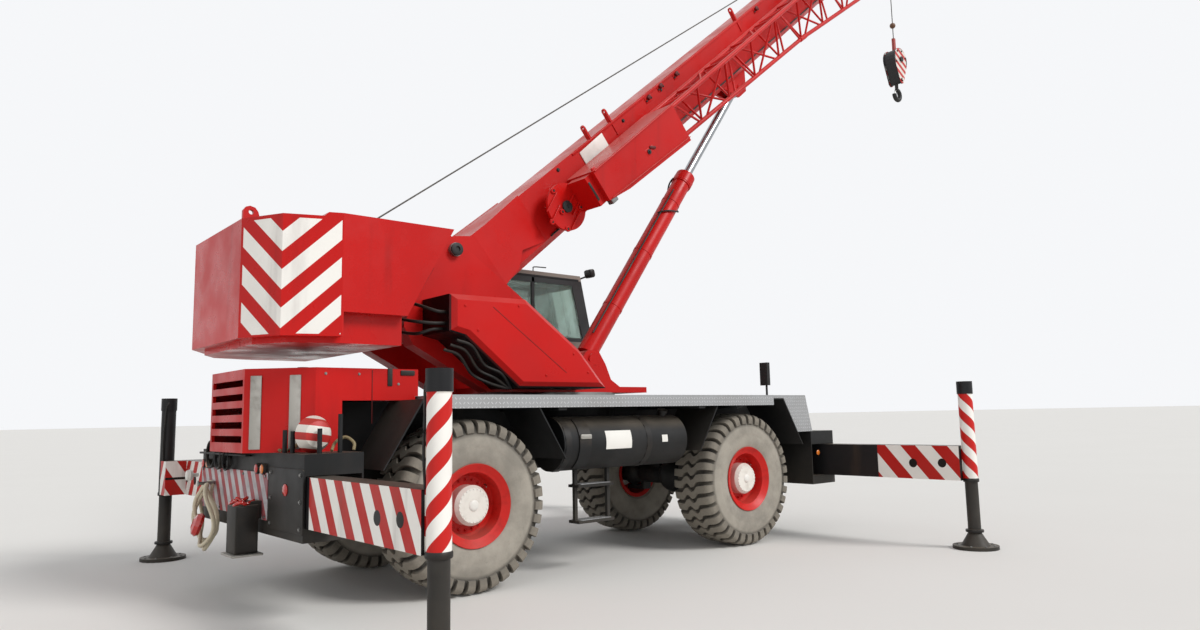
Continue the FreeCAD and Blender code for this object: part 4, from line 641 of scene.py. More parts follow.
def tyre(end, side_name):
    """A tyre: its section turned about the axle, with square-ended lugs raised on the tread.

    Each point is the section's point plus its outward direction times lug depth times lug mask.
    The mask is 1 on the lug's part of a pitch and 0 in its groove. The angle of each column
    shifts along a zigzag with the distance from the middle, so that the columns run down the
    lugs' own edges.
    """
    name = f"{end}_{side_name}_tyre"
    low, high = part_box(name)
    centre = (np.array(low) + np.array(high)) / 2
    outer = (high[0] - low[0]) / 2 - 0.001
    half = (high[1] - low[1]) / 2 - 0.001
    floor_radius = outer - LUG_DEPTH
    # Columns: radius, and the share of half the tyre's width, from the bead to the tread's middle.
    section = np.array([
        (0.335, 0.72), (0.35, 0.765), (0.372, 0.8), (0.384, 0.865), (0.4, 0.88),
        (0.43, 0.925), (0.48, 0.972), (0.54, 0.992), (0.556, 0.984), (0.566, 0.994),
        (0.61, 0.985), (0.655, 0.962), (0.69, 0.935), (0.694, 0.932), (0.716, 0.912),
        (0.74, 0.886), (0.762, 0.85), (0.776, 0.79), (0.782, 0.7),
        (floor_radius - 0.003, 0.55), (floor_radius, 0.4), (floor_radius, 0.25),
        (floor_radius, 0.1)])
    radius = np.concatenate([section[:, 0], section[::-1, 0]])
    place = np.concatenate([section[:, 1], -section[::-1, 1]])
    run = np.stack([np.gradient(place * half), -np.gradient(radius)], -1)
    run /= -np.linalg.norm(run, axis=1)[:, None]
    raised = np.interp(radius, [0.692, 0.694, 0.74, 0.776], [0.0, 0.55, 0.9, 1.0])[:, None]
    # One pitch: the groove's floor, a steep flank, the lug's face and its other flank.
    phases = np.array([0.0, 0.14, 0.285, 0.335, 0.5, 0.67, 0.83, 0.955])
    mask = np.array([0.0, 0.0, 0.0, 1.0, 1.0, 1.0, 1.0, 1.0])
    turn = (np.arange(LUGS)[:, None] + phases[None]).reshape(1, -1)
    lug = np.tile(mask, LUGS)[None] * raised
    zigzag = np.interp(place, [-1, -0.42, -0.16, 0.16, 0.42, 1],
                       [-0.1, 0.0, 0.62, 0.05, 0.66, 0.56])
    angle = (turn + zigzag[:, None]) * 2 * np.pi / LUGS
    depth = outer - floor_radius
    grown = np.minimum(radius[:, None] + depth * lug * run[:, :1], outer)
    out = np.clip(place[:, None] * half + depth * lug * run[:, 1:], -half, half)
    # Two more rows close the section along the bore.
    flat = 0 * angle[:2]
    bore_radius, bore_place = 0.335, np.array([[-0.7], [0.7]])
    grown = np.concatenate([grown, bore_radius + flat])
    out = np.concatenate([out, bore_place * half + flat])
    angle = np.concatenate([angle, angle[-1:], angle[:1]])
    grid = np.stack([centre[0] + grown * np.cos(angle), centre[1] + out,
                     centre[2] + grown * np.sin(angle)], -1)
    wall = np.clip((0.7 - radius) / 0.03, 0, 1)[:, None] + 0 * lug
    lug, wall = (np.concatenate([values, flat]) for values in (lug, wall))
    piece = lay(f"{end}_{side_name}_tread", f"{end}_{side_name}_wheel", "rubber", grid, loop=True,
                numbers={"lug": lug, "wall": wall}, smooth=38)
    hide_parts(name)


def cover(paint, *names):
    """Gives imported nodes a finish."""
    for name in names:
        materials = NODES[name].data.materials
        materials.clear()
        materials.append(PAINTS[paint] if isinstance(paint, str) else paint)


def wheel(end, side_name, way):
    """A wheel's tyre and rim, the bolts and boss of its hub cap, its nuts and the tyre's valve."""
    tyre(end, side_name)
    body, rim = f"{end}_{side_name}_wheel", f"{end}_{side_name}_rim"
    x, _, z = middle(rim)

    def circle(count, radius, y):
        """Places evenly round the axle: radius cos t, radius sin t."""
        t = np.linspace(0, 2 * np.pi, count, endpoint=False)
        return np.stack([x + radius * np.cos(t), y + 0 * t, z + radius * np.sin(t)], -1)

    cap_y = way * (HUB_Y + 0.24)
    bolts(f"{body}_cap_bolts", body, "white", circle(24, 0.158, cap_y - way * 0.002),
          (0, way, 0), 0.008, 0.009)
    turned(f"{body}_boss", body, "white", np.array([x, cap_y - way * 0.004, z]), (0, way, 0),
           [(0.055, 0), (0.055, 0.006), (0.046, 0.016), (0.03, 0.02), (0.012, 0.022)], 28)
    bolts(f"{body}_nuts", body, "red", circle(20, 0.245, way * (HUB_Y + 0.086)),
          (0, way, 0), 0.013, 0.02)
    valve = np.array([x + 0.28 * math.cos(0.7), 0, z + 0.28 * math.sin(0.7)])
    pipe(f"{body}_valve", body, "steel",
         [valve + (0, way * 1.12, 0), valve + (0, way * 1.15, 0),
          valve + (-0.02, way * 1.19, -0.02)], 0.006, 8)
    cover(rim_finish(f"{rim}_paint", (x, z), way), rim)


for end, _ in ENDS:
    for side_name, way in WAYS:
        wheel(end, side_name, way)


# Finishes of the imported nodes

cover("red", "turret_frame", "engine_hood", "boom_base", "boom_section_1", "boom_section_2",
      "boom_fly", "jib_mount", "stowed_jib", "lift_barrel")
cover("tail", "counterweight")
cover("valve", "valve_housing")
cover("black", "chassis_frame", "rear_outrigger_box", "front_outrigger_box", "fenders", "fuel_tank",
      "hydraulic_tank", "side_steps", "rear_stakes", "mirror", "headlamps")
cover("checker", "deck", "front_platform")
cover("steel", "turntable_ring", "main_hoist_drum", "auxiliary_hoist_drum", "boom_foot_pin")
cover("cast", "engine_block", "rear_axle", "front_axle", "head_sheaves", "hook")
cover("chrome", "lift_rod")
cover("glass", "cab_glass")
cover("vinyl", "operator_seat")
cover("plastic", "cab_console")
cover("beige", "cab_shell", "cab_door")
cover("block", "hook_block")
cover("ball", "overhaul_ball")
for end, _ in ENDS:
    for side_name, _ in WAYS:
        cover("cast", f"{end}_{side_name}_knuckle")
        cover("black", f"{end}_{side_name}_jack")

JACK_X, JACK_Y = 3.665, 3.43
# Columns: beam, jack along X, side, the jack's turn, and whether the jack's casing is in light and
# shows its bands; the far jacks' casings are painted dark grey as painted shade.
for name, sign, side, turn, in_light in (("rear_right", -1, -1, -1, True),
                                       ("rear_left", -1, 1, 1, False),
                                       ("front_right", 1, -1, 1, True),
                                       ("front_left", 1, 1, -1, False)):
    # Where the bands start, their slope and period, and the holes' places across and up.
    start, slope, period, holes = (
        (1.5, 0.6, 0.31, [(2.733, 0.997), (3.077, 1.011)]) if sign < 0 else
        (2.27, 0.88, 0.42, [(2.761, 1.003), (3.145, 1.014)]))
    cover(beam_finish(f"{name}_beam_paint", at(sign * JACK_X, side * JACK_Y, 0), start, slope,
                      period, turn, holes, in_light), f"{name}_beam")


# Camera, light and floor

scene = bpy.context.scene
scene.view_settings.view_transform = "Standard"

YAW, PITCH, ROLL = math.radians(49.211), math.radians(6.956), math.radians(-1.167)
forward = np.array([math.cos(YAW) * math.cos(PITCH), math.sin(YAW) * math.cos(PITCH),
                    math.sin(PITCH)])
level = np.array([math.sin(YAW), -math.cos(YAW), 0])
upright = np.cross(level, forward)
right = math.cos(ROLL) * level + math.sin(ROLL) * upright
up = -math.sin(ROLL) * level + math.cos(ROLL) * upright
camera = bpy.data.objects.new("camera", bpy.data.cameras.new("camera"))
camera.data.lens, camera.data.sensor_width = 24.818, 36
camera.data.clip_end = 3000
pose = np.eye(4)
pose[:3, :3] = np.stack([right, up, -forward], 1)
pose[:3, 3] = at(-6.432, -8.273, 1.677)
camera.matrix_world = Matrix(pose.tolist())
scene.collection.objects.link(camera)
scene.camera = camera

# Columns: name, strength, spread in degrees, the direction that the light travels in.
for name, strength, spread, way in (("key_light", 2.1, 22, (-0.3, 0.72, -0.62)),
                                    ("fill_light", 0.45, 60, (0.85, 0.35, -0.35))):
    lamp = bpy.data.objects.new(name, bpy.data.lights.new(name, "SUN"))
    lamp.data.energy, lamp.data.angle = strength, math.radians(spread)
    axis, first, second = frame_of(-np.array(way, float))
    turn = np.eye(4)
    turn[:3, :3] = np.stack([first, second, axis], 1)
    lamp.matrix_world = Matrix(turn.tolist())
    scene.collection.objects.link(lamp)

world = bpy.data.worlds.new("studio")
world.use_nodes = True
scene.world = world
sky = Tree(world.node_tree)
direct, mirrored, passed = (sky.node("ShaderNodeLightPath", output=f"Is {kind} Ray")
                            for kind in ("Camera", "Glossy", "Transmission"))
seen = direct.larger(mirrored).larger(passed)
soft = sky.node("ShaderNodeBackground", {}, {"Color": (0.93, 0.96, 1.0, 1), "Strength": 0.55})
white = sky.node("ShaderNodeBackground", {}, {"Color": (0.97, 0.98, 1.0, 1), "Strength": 0.95})
both = sky.node("ShaderNodeMixShader", {}, {0: seen, 1: soft, 2: white})
sky.node("ShaderNodeOutputWorld", {}, {"Surface": both})

floor_paint = Finish("studio_floor")
floor_shade = floor_paint.mix(floor_paint.noise(0.3, 3) * 0.4, "#e3e0db", "#dad7d1")
floor_paint.cover(floor_shade, 0.9)
floor = lay("studio_floor", None, floor_paint.material,
            np.array([[(-900, -900, 0), (-900, 900, 0)], [(900, -900, 0), (900, 900, 0)]], float),
            wrap=False, ends=False)


# Carrier's details

FORWARD, LEFTWARD, UPWARD = (1, 0, 0), (0, 1, 0), (0, 0, 1)
REARWARD, RIGHTWARD = (-1, 0, 0), (0, -1, 0)
SIDES = (-1, 1)


def plates(body, along, across, rows, place=at):
    """Plates that lie one way, from rows of name, finish, centre, size, edge and corner."""
    for name, paint, centre, *shape in rows:
        slab(name, body, paint, place(*centre), along, across, *shape)


def knobs(body, axis, rows, place=at):
    """Turned pieces that point one way, from rows of name, finish, centre, profile and sides."""
    for name, paint, centre, profile, sides in rows:
        turned(name, body, paint, place(*centre), axis, profile, sides)


def hoses(stem, body, paint, radius, rows, sides=8, steps=12):
    """Numbered hoses or rods through rows of places measured from the slew axis."""
    for k, points in enumerate(rows):
        pipe(f"{stem}_{k}", body, paint, [at(*p) for p in points], radius, sides, steps)


def striped_plate_finish():
    """A faded plate of slanting red and white bands, scratched and dusty."""
    f = Finish("rear_striped_plate_paint")
    band = f.bands((0.6 * f.z - f.y) / 0.21, 0.265, 0.243)
    faded = f.step(f.noise(5, 5, 0.65), 0.35, 0.75)
    shade = f.mix(band, f.mix(faded, "#a8383a", "#8a6a70"), f.mix(faded, "#c9c5c6", "#9c989b"))
    return f.cover(weathered(f, shade, 0.3, 0.45, "#4f4339"), 0.6, 0.0, painted_relief(f, 0.5))


REAR_FACE = -3.794
plates("carrier", LEFTWARD, UPWARD, [
    ("rear_corner_plate", "black", (-3.787, -1.04, 1.02), (0.81, 0.53, 0.012), 0.003, 0.02),
    ("rear_striped_plate", striped_plate_finish(), (-3.788, 0.4, 1.02), (2.02, 0.42, 0.01),
     0.003, 0.01),
    ("front_bumper_lip", "soot", (3.79, 0, 0.78), (2.6, 0.1, 0.016), 0.004, 0.02),
    *[(f"lamp_glass_{side + 1}", "lens", (3.873, side, 1.17), (0.22, 0.13, 0.01), 0.004, 0.02)
      for side in SIDES]])
bolts("rear_corner_bolts", "carrier", "steel",
      [at(REAR_FACE, y, z) for y in (-1.39, -0.7) for z in (0.8, 1.02, 1.24)],
      REARWARD, 0.013, 0.012)
bolts("rear_plate_bolts", "carrier", "steel",
      [at(REAR_FACE, y, z) for y in (-0.56, 0.05, 0.75, 1.36) for z in (0.84, 1.2)],
      REARWARD, 0.011, 0.01)
plates("carrier", LEFTWARD, FORWARD, [
    ("rear_step_rail", "black", (-3.815, 0.6, 1.375), (1.5, 0.06, 0.02)),
    ("hood_rear_seam", "maroon", (-3.25, 0, 2.166), (1.86, 0.008, 0.004), 0.001, 0.002)])
# The rigging block under the rear plate: a plated box on a foot, held by an arm.
plates("carrier", FORWARD, LEFTWARD, [
    ("rear_block_body", "black", (-3.93, -0.4, 0.74), (0.2, 0.25, 0.42), 0.006, 0.01),
    ("rear_block_foot", "zinc", (-3.93, -0.41, 0.52), (0.27, 0.34, 0.018), 0.004, 0.02)])
plates("carrier", FORWARD, UPWARD, [
    ("rear_block_plate", "soot", (-3.93, -0.529, 0.74), (0.17, 0.4, 0.008)),
    ("rear_block_arm", "black", (-3.84, -0.4, 0.9), (0.13, 0.16, 0.16), 0.008, 0.02),
    ("tank_clamp_latch", "zinc", (-0.72, -1.385, 1.46), (0.15, 0.05, 0.02))])
knobs("carrier", REARWARD, [
    ("rear_reflector", "lamp_red", (REAR_FACE, -1.057, 1.103),
     [(0.052, 0), (0.052, 0.006), (0.045, 0.012), (0.03, 0.017), (0.008, 0.019)], 32),
    ("rear_knob", "white", (-3.8, 1.52, 1.13),
     [(0.02, 0), (0.02, 0.05), (0.05, 0.06), (0.062, 0.09), (0.05, 0.12), (0.012, 0.13)], 24),
    ("sling_hook_pin", "steel", (-3.79, 0.92, 1.075),
     [(0.016, 0), (0.016, 0.16), (0.03, 0.165), (0.03, 0.175), (0.01, 0.18)], 20)])
# Columns: place across and lens.
for k, (y, lens) in enumerate(((1.3, "lamp_red"), (1.15, "amber"), (-0.52, "amber"),
                               (-0.37, "lamp_red"))):
    knobs("carrier", REARWARD, [
        (f"rear_lamp_{k}_case", "soot", (-3.78, y, 1.262),
         [(0.05, 0), (0.05, 0.03), (0.047, 0.036), (0.042, 0.036)], 28),
        (f"rear_lamp_{k}_lens", lens, (-3.812, y, 1.262),
         [(0.041, 0), (0.041, 0.007), (0.032, 0.013), (0.015, 0.016), (0.005, 0.017)], 28)])


def coil(k, y, z, radius, turns, thick):
    """A coiled hose hung on the rear: a circle that swells and shrinks as it winds back."""
    t = np.linspace(0, 2 * np.pi * turns, 70)
    reach = radius * (1 + 0.05 * np.sin(2.3 * t))
    path = np.stack([-0.02 - 0.012 * t / 6, reach * np.cos(t), reach * np.sin(t)], -1)
    pipe(f"rear_coil_{k}", "carrier", "hose", path + at(-3.79, y, z), thick, 8, 0, FORWARD)


coil(0, 0.72, 1.33, 0.105, 2.6, 0.011)
coil(1, 0.98, 1.36, 0.13, 2.3, 0.012)
coil(2, 0.44, 1.31, 0.085, 3.2, 0.009)
hoses("tray_hose", "carrier", "twine", 0.014, [
    [(-3.7, -0.8, 1.43), (-3.62, -0.74, 1.44), (-3.55, -0.68, 1.45), (-3.62, -0.6, 1.47),
     (-3.72, -0.66, 1.44), (-3.74, -0.76, 1.43)],
    [(-3.52, -1.36, 1.43), (-3.46, -1.3, 1.5), (-3.38, -1.32, 1.54), (-3.33, -1.38, 1.49),
     (-3.34, -1.4, 1.43)],
    [(-3.68, -0.9, 1.43), (-3.6, -0.84, 1.5), (-3.52, -0.82, 1.51), (-3.44, -0.86, 1.43)]])


def shackle(k, centre, turn, size):
    """A bow shackle: a bar bent round most of an ellipse, with a pin across its ends."""
    t = np.linspace(-2.2, 2.2, 26)
    c, q = math.cos(turn), math.sin(turn)
    bow = np.stack([size * 0.75 * np.sin(t), size * np.cos(t), 0.012 * np.sin(2 * t)], -1)
    bow = centre + bow @ np.array([[c, q, 0], [-q, c, 0], [0, 0, 1]])
    pipe(f"rear_shackle_{k}", "carrier", "lamp_red", bow, 0.015, 8, 0)
    ends = np.array([bow[0] + 0.12 * (bow[0] - bow[-1]), bow[-1] + 0.12 * (bow[-1] - bow[0])])
    pipe(f"rear_shackle_pin_{k}", "carrier", "lamp_red", ends, 0.012, 8, 2)


shackle(0, at(-3.95, -0.3, 0.968), 0.4, 0.065)
shackle(1, at(-3.9, -0.42, 0.972), 2.0, 0.06)
shackle(2, at(-3.98, -0.47, 0.966), 3.6, 0.055)
shackle(3, at(-3.93, -0.36, 0.995), 5.1, 0.05)


def sling_loop(k, y, x, low, high, wide, thick):
    """A stiff lifting sling on the plate: an oval whose lower half is wider than its upper one."""
    around, sides = 72, 10
    t = np.linspace(0, 2 * np.pi, around, endpoint=False)
    across = wide * np.sin(t) * (1 - 0.25 * np.cos(t))
    path = at(x, y, (low + high) / 2) + np.stack(
        [0.03 * np.sin(3 * t + k), across, (high - low) / 2 * np.cos(t)], -1)
    grid = tube_grid(np.vstack([path[-1:], path, path[:1]]), thick, sides, FORWARD)[1:-1]
    numbers = {"run": np.repeat(np.linspace(0, 2.2, around), sides),
               "turn": np.tile(np.linspace(0, 1, sides, endpoint=False), around)}
    lay(f"rear_sling_{k}", "carrier", "sling", grid, loop=True, numbers=numbers)


sling_loop(0, 0.92, -3.88, 0.42, 1.06, 0.3, 0.022)
sling_loop(1, 0.8, -3.93, 0.47, 1.07, 0.24, 0.02)
sling_loop(2, 1.0, -3.84, 0.5, 1.08, 0.26, 0.018)
knobs("carrier", (-0.9, 0.2, 0.3), [
    ("sling_eye", "lamp_red", (-3.93, 0.86, 0.66),
     [(0.1, 0), (0.12, 0.03), (0.1, 0.07), (0.05, 0.09), (0.045, 0.05), (0.03, 0.05)], 28)])

# The hood's cut corners face the rear; two grey strips are bolted down each.
corner_rear, corner_side = at(-3.98, -0.49, 0), at(-3.51, -0.96, 0)
slant = (corner_side - corner_rear) / np.linalg.norm(corner_side - corner_rear)
outward = np.array([slant[1], -slant[0], 0])
for share in (0.17, 0.72):
    foot = corner_rear + share * (corner_side - corner_rear) + outward * 0.006
    for side in SIDES:
        mirror = np.array([1, -side, 1])
        spot = foot * mirror
        slab(f"hood_strip_{'left' if side > 0 else 'right'}_{int(share * 100)}", "carrier", "zinc",
             np.array([spot[0], spot[1], 1.77]), slant * mirror, UPWARD, (0.105, 0.66, 0.01),
             0.003, 0.006)
for side in SIDES:
    hood_y = side * 0.964
    plates("carrier", FORWARD, UPWARD, [
        (f"hood_hinge_strip_{side + 1}", "soot", (-2.79, hood_y, 2.085), (0.05, 0.17, 0.01),
         0.003, 0.008),
        (f"hood_latch_{side + 1}", "soot", (-2.605, hood_y, 2.128), (0.15, 0.05, 0.014),
         0.004, 0.012),
        (f"hood_door_seam_{side + 1}", "maroon", (-2.97, hood_y - side * 0.002, 1.9),
         (0.006, 0.5, 0.006), 0.001, 0.002)])
    bolts(f"hood_bolts_{side + 1}", "carrier", "steel",
          [at(x, hood_y - side * 0.003, z)
           for x, z in ((-3.42, 2.11), (-3.1, 2.11), (-3.42, 1.6), (-2.7, 2.02))],
          (0, side, 0), 0.01, 0.01)
knobs("carrier", UPWARD, [
    ("exhaust_pipe", "cast", (-3.05, 0.55, 2.16),
     [(0.062, 0), (0.062, 0.09), (0.056, 0.1), (0.05, 0.1), (0.05, 0.04)], 28)])

# The fuel tank: blank plates, two straps, and its filler.
tank_low, tank_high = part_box("fuel_tank")
tank_middle, tank_radius = middle("fuel_tank"), (tank_high[2] - tank_low[2]) / 2


def tank_patch(name, paint, x_low, x_high, turn_low, turn_high, lift):
    """A plate bent round the tank: radius + lift over a range of X and of angle from level."""
    x = np.linspace(x_low, x_high, 3)[:, None] + SLEW_X
    t = np.radians(np.linspace(turn_low, turn_high, 14))[None]

    def skin(radius):
        """Places on a round skin: the tank's middle less radius cos t, and plus radius sin t."""
        return np.stack([x + 0 * t, tank_middle[1] - radius * np.cos(t) + 0 * x,
                         tank_middle[2] + radius * np.sin(t) + 0 * x], -1)

    outer, inner = skin(tank_radius + lift), skin(tank_radius + 0.0005)
    lay(name, "carrier", paint, np.concatenate([inner[:, ::-1], outer], 1), smooth=30)


tank_patch("tank_plate", "white", -0.42, -0.04, -14, 26, 0.003)
tank_patch("tank_small_plate", "white", 0.44, 0.53, -4, 12, 0.003)
tank_patch("tank_strap_rear", "soot", -0.98, -0.9, -150, 150, 0.008)
tank_patch("tank_strap_front", "soot", 0.2, 0.28, -150, 150, 0.008)
tank_patch("tank_rear_clamp", "soot", -0.8, -0.64, -60, 60, 0.014)
knobs("carrier", (0, -0.35, 1), [
    ("tank_filler", "soot", (0.66, -1.14, 1.655),
     [(0.05, 0), (0.05, 0.05), (0.062, 0.05), (0.062, 0.085), (0.05, 0.095), (0.015, 0.097)], 28)])
for side in SIDES:
    slab(f"step_treads_{side + 1}", "carrier", "checker",
         [at(-0.405, side * 1.08, z) for z in (0.554, 0.939)], FORWARD, LEFTWARD,
         (0.44, 0.17, 0.006))
knobs("carrier", RIGHTWARD, [
    ("side_marker", "amber", (3.4, -1.434, 1.115),
     [(0.035, 0), (0.035, 0.006), (0.028, 0.012), (0.012, 0.016), (0.004, 0.017)], 24)])


def bolt_circle(count, radius, start=0.0):
    """Places evenly round a circle: radius cos a, radius sin a."""
    return [(radius * math.cos(a), radius * math.sin(a))
            for a in np.linspace(0, 2 * np.pi, count, False) + start]


bolts("ring_bolts", "carrier", "steel", [at(x, y, 1.959) for x, y in bolt_circle(40, 0.655)],
      UPWARD, 0.013, 0.001)
# Columns: place forward and inward from the jack's axis, and height, of the jack's hose.
JACK_HOSE = [(0.06, 0.075, 1.222), (0.07, 0.08, 1.45), (0.06, 0.086, 1.72), (0.05, 0.098, 1.9),
             (0.02, 0.085, 1.955)]
for end, sign in ENDS:
    for side_name, side in WAYS:
        body, pad = f"{end}_{side_name}_outrigger", f"{end}_{side_name}_jack"
        x, y = sign * JACK_X, side * JACK_Y
        turned(f"{body}_casing_collar", body, "soot", at(x, y, 0.79), UPWARD,
               [(0.0845, 0.0), (0.088, 0.0), (0.092, 0.01), (0.092, 0.035), (0.0855, 0.045),
                (0.0845, 0.045)], 32, ring=True)
        turned(f"{body}_cap_boss", body, "soot", at(x, y, 1.995), UPWARD,
               [(0.05, 0), (0.05, 0.01), (0.03, 0.014)], 24)
        pipe(f"{body}_jack_hose", body, "hose",
             [at(x + over * sign, side * (JACK_Y - inward), z) for over, inward, z in JACK_HOSE],
             0.01, 8)
        bolts(f"{pad}_pad_bolts", pad, "steel",
              [at(x + over, y + across, 0.04) for over, across in bolt_circle(8, 0.215, 0.2)],
              UPWARD, 0.012, 0.012)
        turned(f"{pad}_rod_ring", pad, "soot", at(x, y, 0.19), UPWARD,
               [(0.0745, 0), (0.1, 0.004), (0.105, 0.02), (0.1, 0.036), (0.0745, 0.04)],
               32, ring=True)


# Superstructure's details

for side in SIDES:
    turned(f"foot_pin_nut_{side + 1}", "superstructure", "cast",
           np.array([FOOT[0], side * 0.648, FOOT[2]]), (0, side, 0),
           [(0.07, 0), (0.07, 0.02), (0.052, 0.028), (0.03, 0.028), (0.028, 0.014)], 24)
# The dark strip between the counterweight and the valve housing, on the cheek's outer face.
plates("superstructure", (0.392, 0, 0.69), (0.69, 0, -0.392), [
    ("cheek_shadow_strip", "maroon", (-2.36, -0.606, 2.96), (0.78, 0.11, 0.01), 0.003, 0.01)])
plates("superstructure", (0.82, 0, -0.57), (0.57, 0, 0.82), [
    ("valve_seam", "maroon", (-1.3, -1.2015, 2.48), (1.15, 0.006, 0.003), 0.001, 0.002)])
hoses("valve_hose", "superstructure", "hose", 0.017, [
    [(-2.5, -0.66, 2.88), (-2.47, -0.95, 2.8), (-2.36, -1.08, 2.74), (-2.24, -1.06, 2.74)],
    [(-2.62, -0.66, 2.7), (-2.56, -0.96, 2.64), (-2.4, -1.06, 2.62), (-2.24, -1.05, 2.63)],
    [(-2.56, -0.66, 2.56), (-2.5, -0.94, 2.52), (-2.38, -1.02, 2.56), (-2.24, -1.0, 2.58)]], 10)
hoses("valve_lower_hose", "superstructure", "hose", 0.016, [
    [(-2.14 - drop, -1.1 + aside, 2.46 - drop), (-1.98 - drop, -1.13 + aside, 2.4 - drop),
     (-1.8 - drop, -1.08 + aside, 2.22 - drop), (-1.62 - drop, -1.12 + aside, 2.13 - drop),
     (-1.46 - drop * 0.5, -1.05, 1.985)] for drop, aside in ((0.0, 0.0), (0.045, 0.05),
                                                             (0.09, 0.1))], 10)
bolts("valve_bolts", "superstructure", "red",
      [at(x, -1.2, z) for x, z in ((-2.1, 2.8), (-1.45, 2.84), (-0.72, 2.36), (-0.52, 2.16),
                                     (-1.1, 2.12), (-1.95, 2.56))], RIGHTWARD, 0.012, 0.01)


def winch_rope(name, node, radius, half=0.283, pitch=0.019, sides=48):
    """A drum's layer of rope: a sleeve whose radius ripples once for each turn of the rope."""
    run = np.linspace(-half, half, 220)
    ripple = radius + 0.0055 * np.abs(np.sin(np.pi * run / pitch))
    profile = np.concatenate([[(radius - 0.012, -half)], np.stack([ripple, run], 1),
                              [(radius - 0.012, half)]])
    piece = turned(name, "superstructure", "wire", middle(node), LEFTWARD, profile, sides,
                   ring=True)
    strands = 12 * np.tile(np.linspace(0, 1, sides, False), len(profile))
    for label, values in (("run", 0 * strands), ("turn", strands)):
        made = piece.data.attributes.new(label, "FLOAT", "POINT")
        made.data.foreach_set("value", values.astype(np.float32))


winch_rope("main_winch_rope", "main_hoist_drum", 0.199)
winch_rope("auxiliary_winch_rope", "auxiliary_hoist_drum", 0.112)

# Cab: lamp on its bracket, roof fitting, grab rail, wipers, gutter, post and door.
for name, radius, points in (
        ("cab_lamp_arm", 0.012, [(0.9, 0.7, 3.6), (0.98, 0.67, 3.63), (1.04, 0.64, 3.66)]),
        ("cab_roof_antenna", 0.008, [(0.2, 0.8, 3.64), (0.2, 0.8, 3.7), (0.22, 0.8, 3.73),
                                     (0.42, 0.8, 3.74)]),
        ("cab_grab_rail", 0.013, [(0.5, 1.43, 2.35), (0.5, 1.47, 2.38), (0.5, 1.47, 3.05),
                                  (0.5, 1.43, 3.08)])):
    pipe(name, "superstructure", "soot", [at(*p) for p in points], radius, 8)
hoses("wiper", "superstructure", "soot", 0.007, [
    [(1.1, 0.72, 2.78), (1.06, 1.05, 3.14)], [(1.1, 1.2, 2.78), (1.04, 1.02, 3.2)]], 8, 2)
plates("superstructure", LEFTWARD, (-0.2, 0, 1), [
    ("cab_lamp", "soot", (1.06, 0.62, 3.69), (0.15, 0.12, 0.09), 0.02, 0.03),
    ("cab_lamp_lens", "lens", (1.109, 0.62, 3.7), (0.12, 0.09, 0.008), 0.003, 0.025)])
plates("superstructure", FORWARD, UPWARD, [
    ("cab_gutter", "soot", (0.07, 0.642, 3.575), (1.6, 0.03, 0.014), 0.004, 0.006),
    ("cab_middle_post", "soot", (0.08, 0.655, 3.13), (0.055, 0.86, 0.03), 0.006, 0.01)])
plates("cab_door", FORWARD, UPWARD, [
    ("door_handle", "soot", (0.3, 1.432, 2.68), (0.16, 0.035, 0.022), 0.008, 0.014),
    ("door_pane", "glass", (-0.07, 1.408, 3.1), (0.796, 0.67, 0.006), 0.002, 0.01)])


# Boom's details

HINGE_FACE = -0.43
BRACKETS = [(4.28, -0.14), (4.62, -0.12), (5.05, -0.13), (7.6, -0.13)]
BOSSES = [(1.74, -0.236), (1.472, -0.522), (1.687, -0.51), (1.98, -0.62), (1.62, -0.72)]
# Columns: place along and above of a rib's middle, and its length.
RIBS = [(1.62, -0.33, 0.3), (1.58, -0.47, 0.26), (1.97, -0.44, 0.3), (1.93, -0.58, 0.26),
        (1.8, -0.7, 0.3)]

plates("boom_base", ALONG, ABOVE, [
    ("jib_box_latch", "red", (3.151, -0.826, -0.56), (0.2, 0.1, 0.03), 0.006, 0.02),
    ("boom_side_rail", "red", (6.1, -0.2265, -0.085), (7.2, 0.03, 0.012), 0.003, 0.004),
    *[(f"boom_bracket_foot_{k}", "red", (u, -0.224, v), (0.16, 0.11, 0.008), 0.003, 0.01)
      for k, (u, v) in enumerate(BRACKETS)]], on_boom)
plates("boom_base", ABOVE, ALONG, [
    ("boom_foot_seam", "maroon", (1.25, -0.2285, -0.36), (0.52, 0.012, 0.006), 0.002, 0.004),
    ("jib_box_band", "red", (2.16, -0.8, -0.47), (0.46, 0.07, 0.03), 0.006, 0.01),
    *[(f"jib_channel_slot_{int(u * 100)}", "soot", (u - 0.04, -0.7725, -0.49),
       (0.26, 0.035, 0.005), 0.002, 0.01) for u in (2.05, 2.2, 2.36)]], on_boom)
plates("boom_base", ALONG + 0.04 * ABOVE, ABOVE, [
    ("boom_white_plate", "white", (2.88, -0.2275, -0.222), (0.52, 0.225, 0.014), 0.002, 0.006)],
       on_boom)
plates("boom_base", ALONG - 0.6 * ABOVE, ABOVE + 0.6 * ALONG, [
    ("jib_box_latch_hook", "maroon", (3.21, -0.848, -0.545), (0.11, 0.035, 0.022), 0.004, 0.012)],
       on_boom)
# Hose brackets on the boom's side: a raised clamp and two bolts on each foot plate.
plates("boom_base", ALONG + 0.3 * ABOVE, ABOVE - 0.3 * ALONG, [
    (f"boom_bracket_clamp_{k}", "maroon", (u, -0.246, v + 0.008), (0.07, 0.055, 0.036),
     0.006, 0.012) for k, (u, v) in enumerate(BRACKETS)], on_boom)
rib_way = ALONG * 0.94 + ABOVE * 0.34
plates("boom_base", rib_way, np.cross(RIGHTWARD, rib_way), [
    (f"hinge_plate_rib_{k}", "red", (u, HINGE_FACE - 0.013, v), (length, 0.016, 0.03),
     0.004, 0.006) for k, (u, v, length) in enumerate(RIBS)], on_boom)
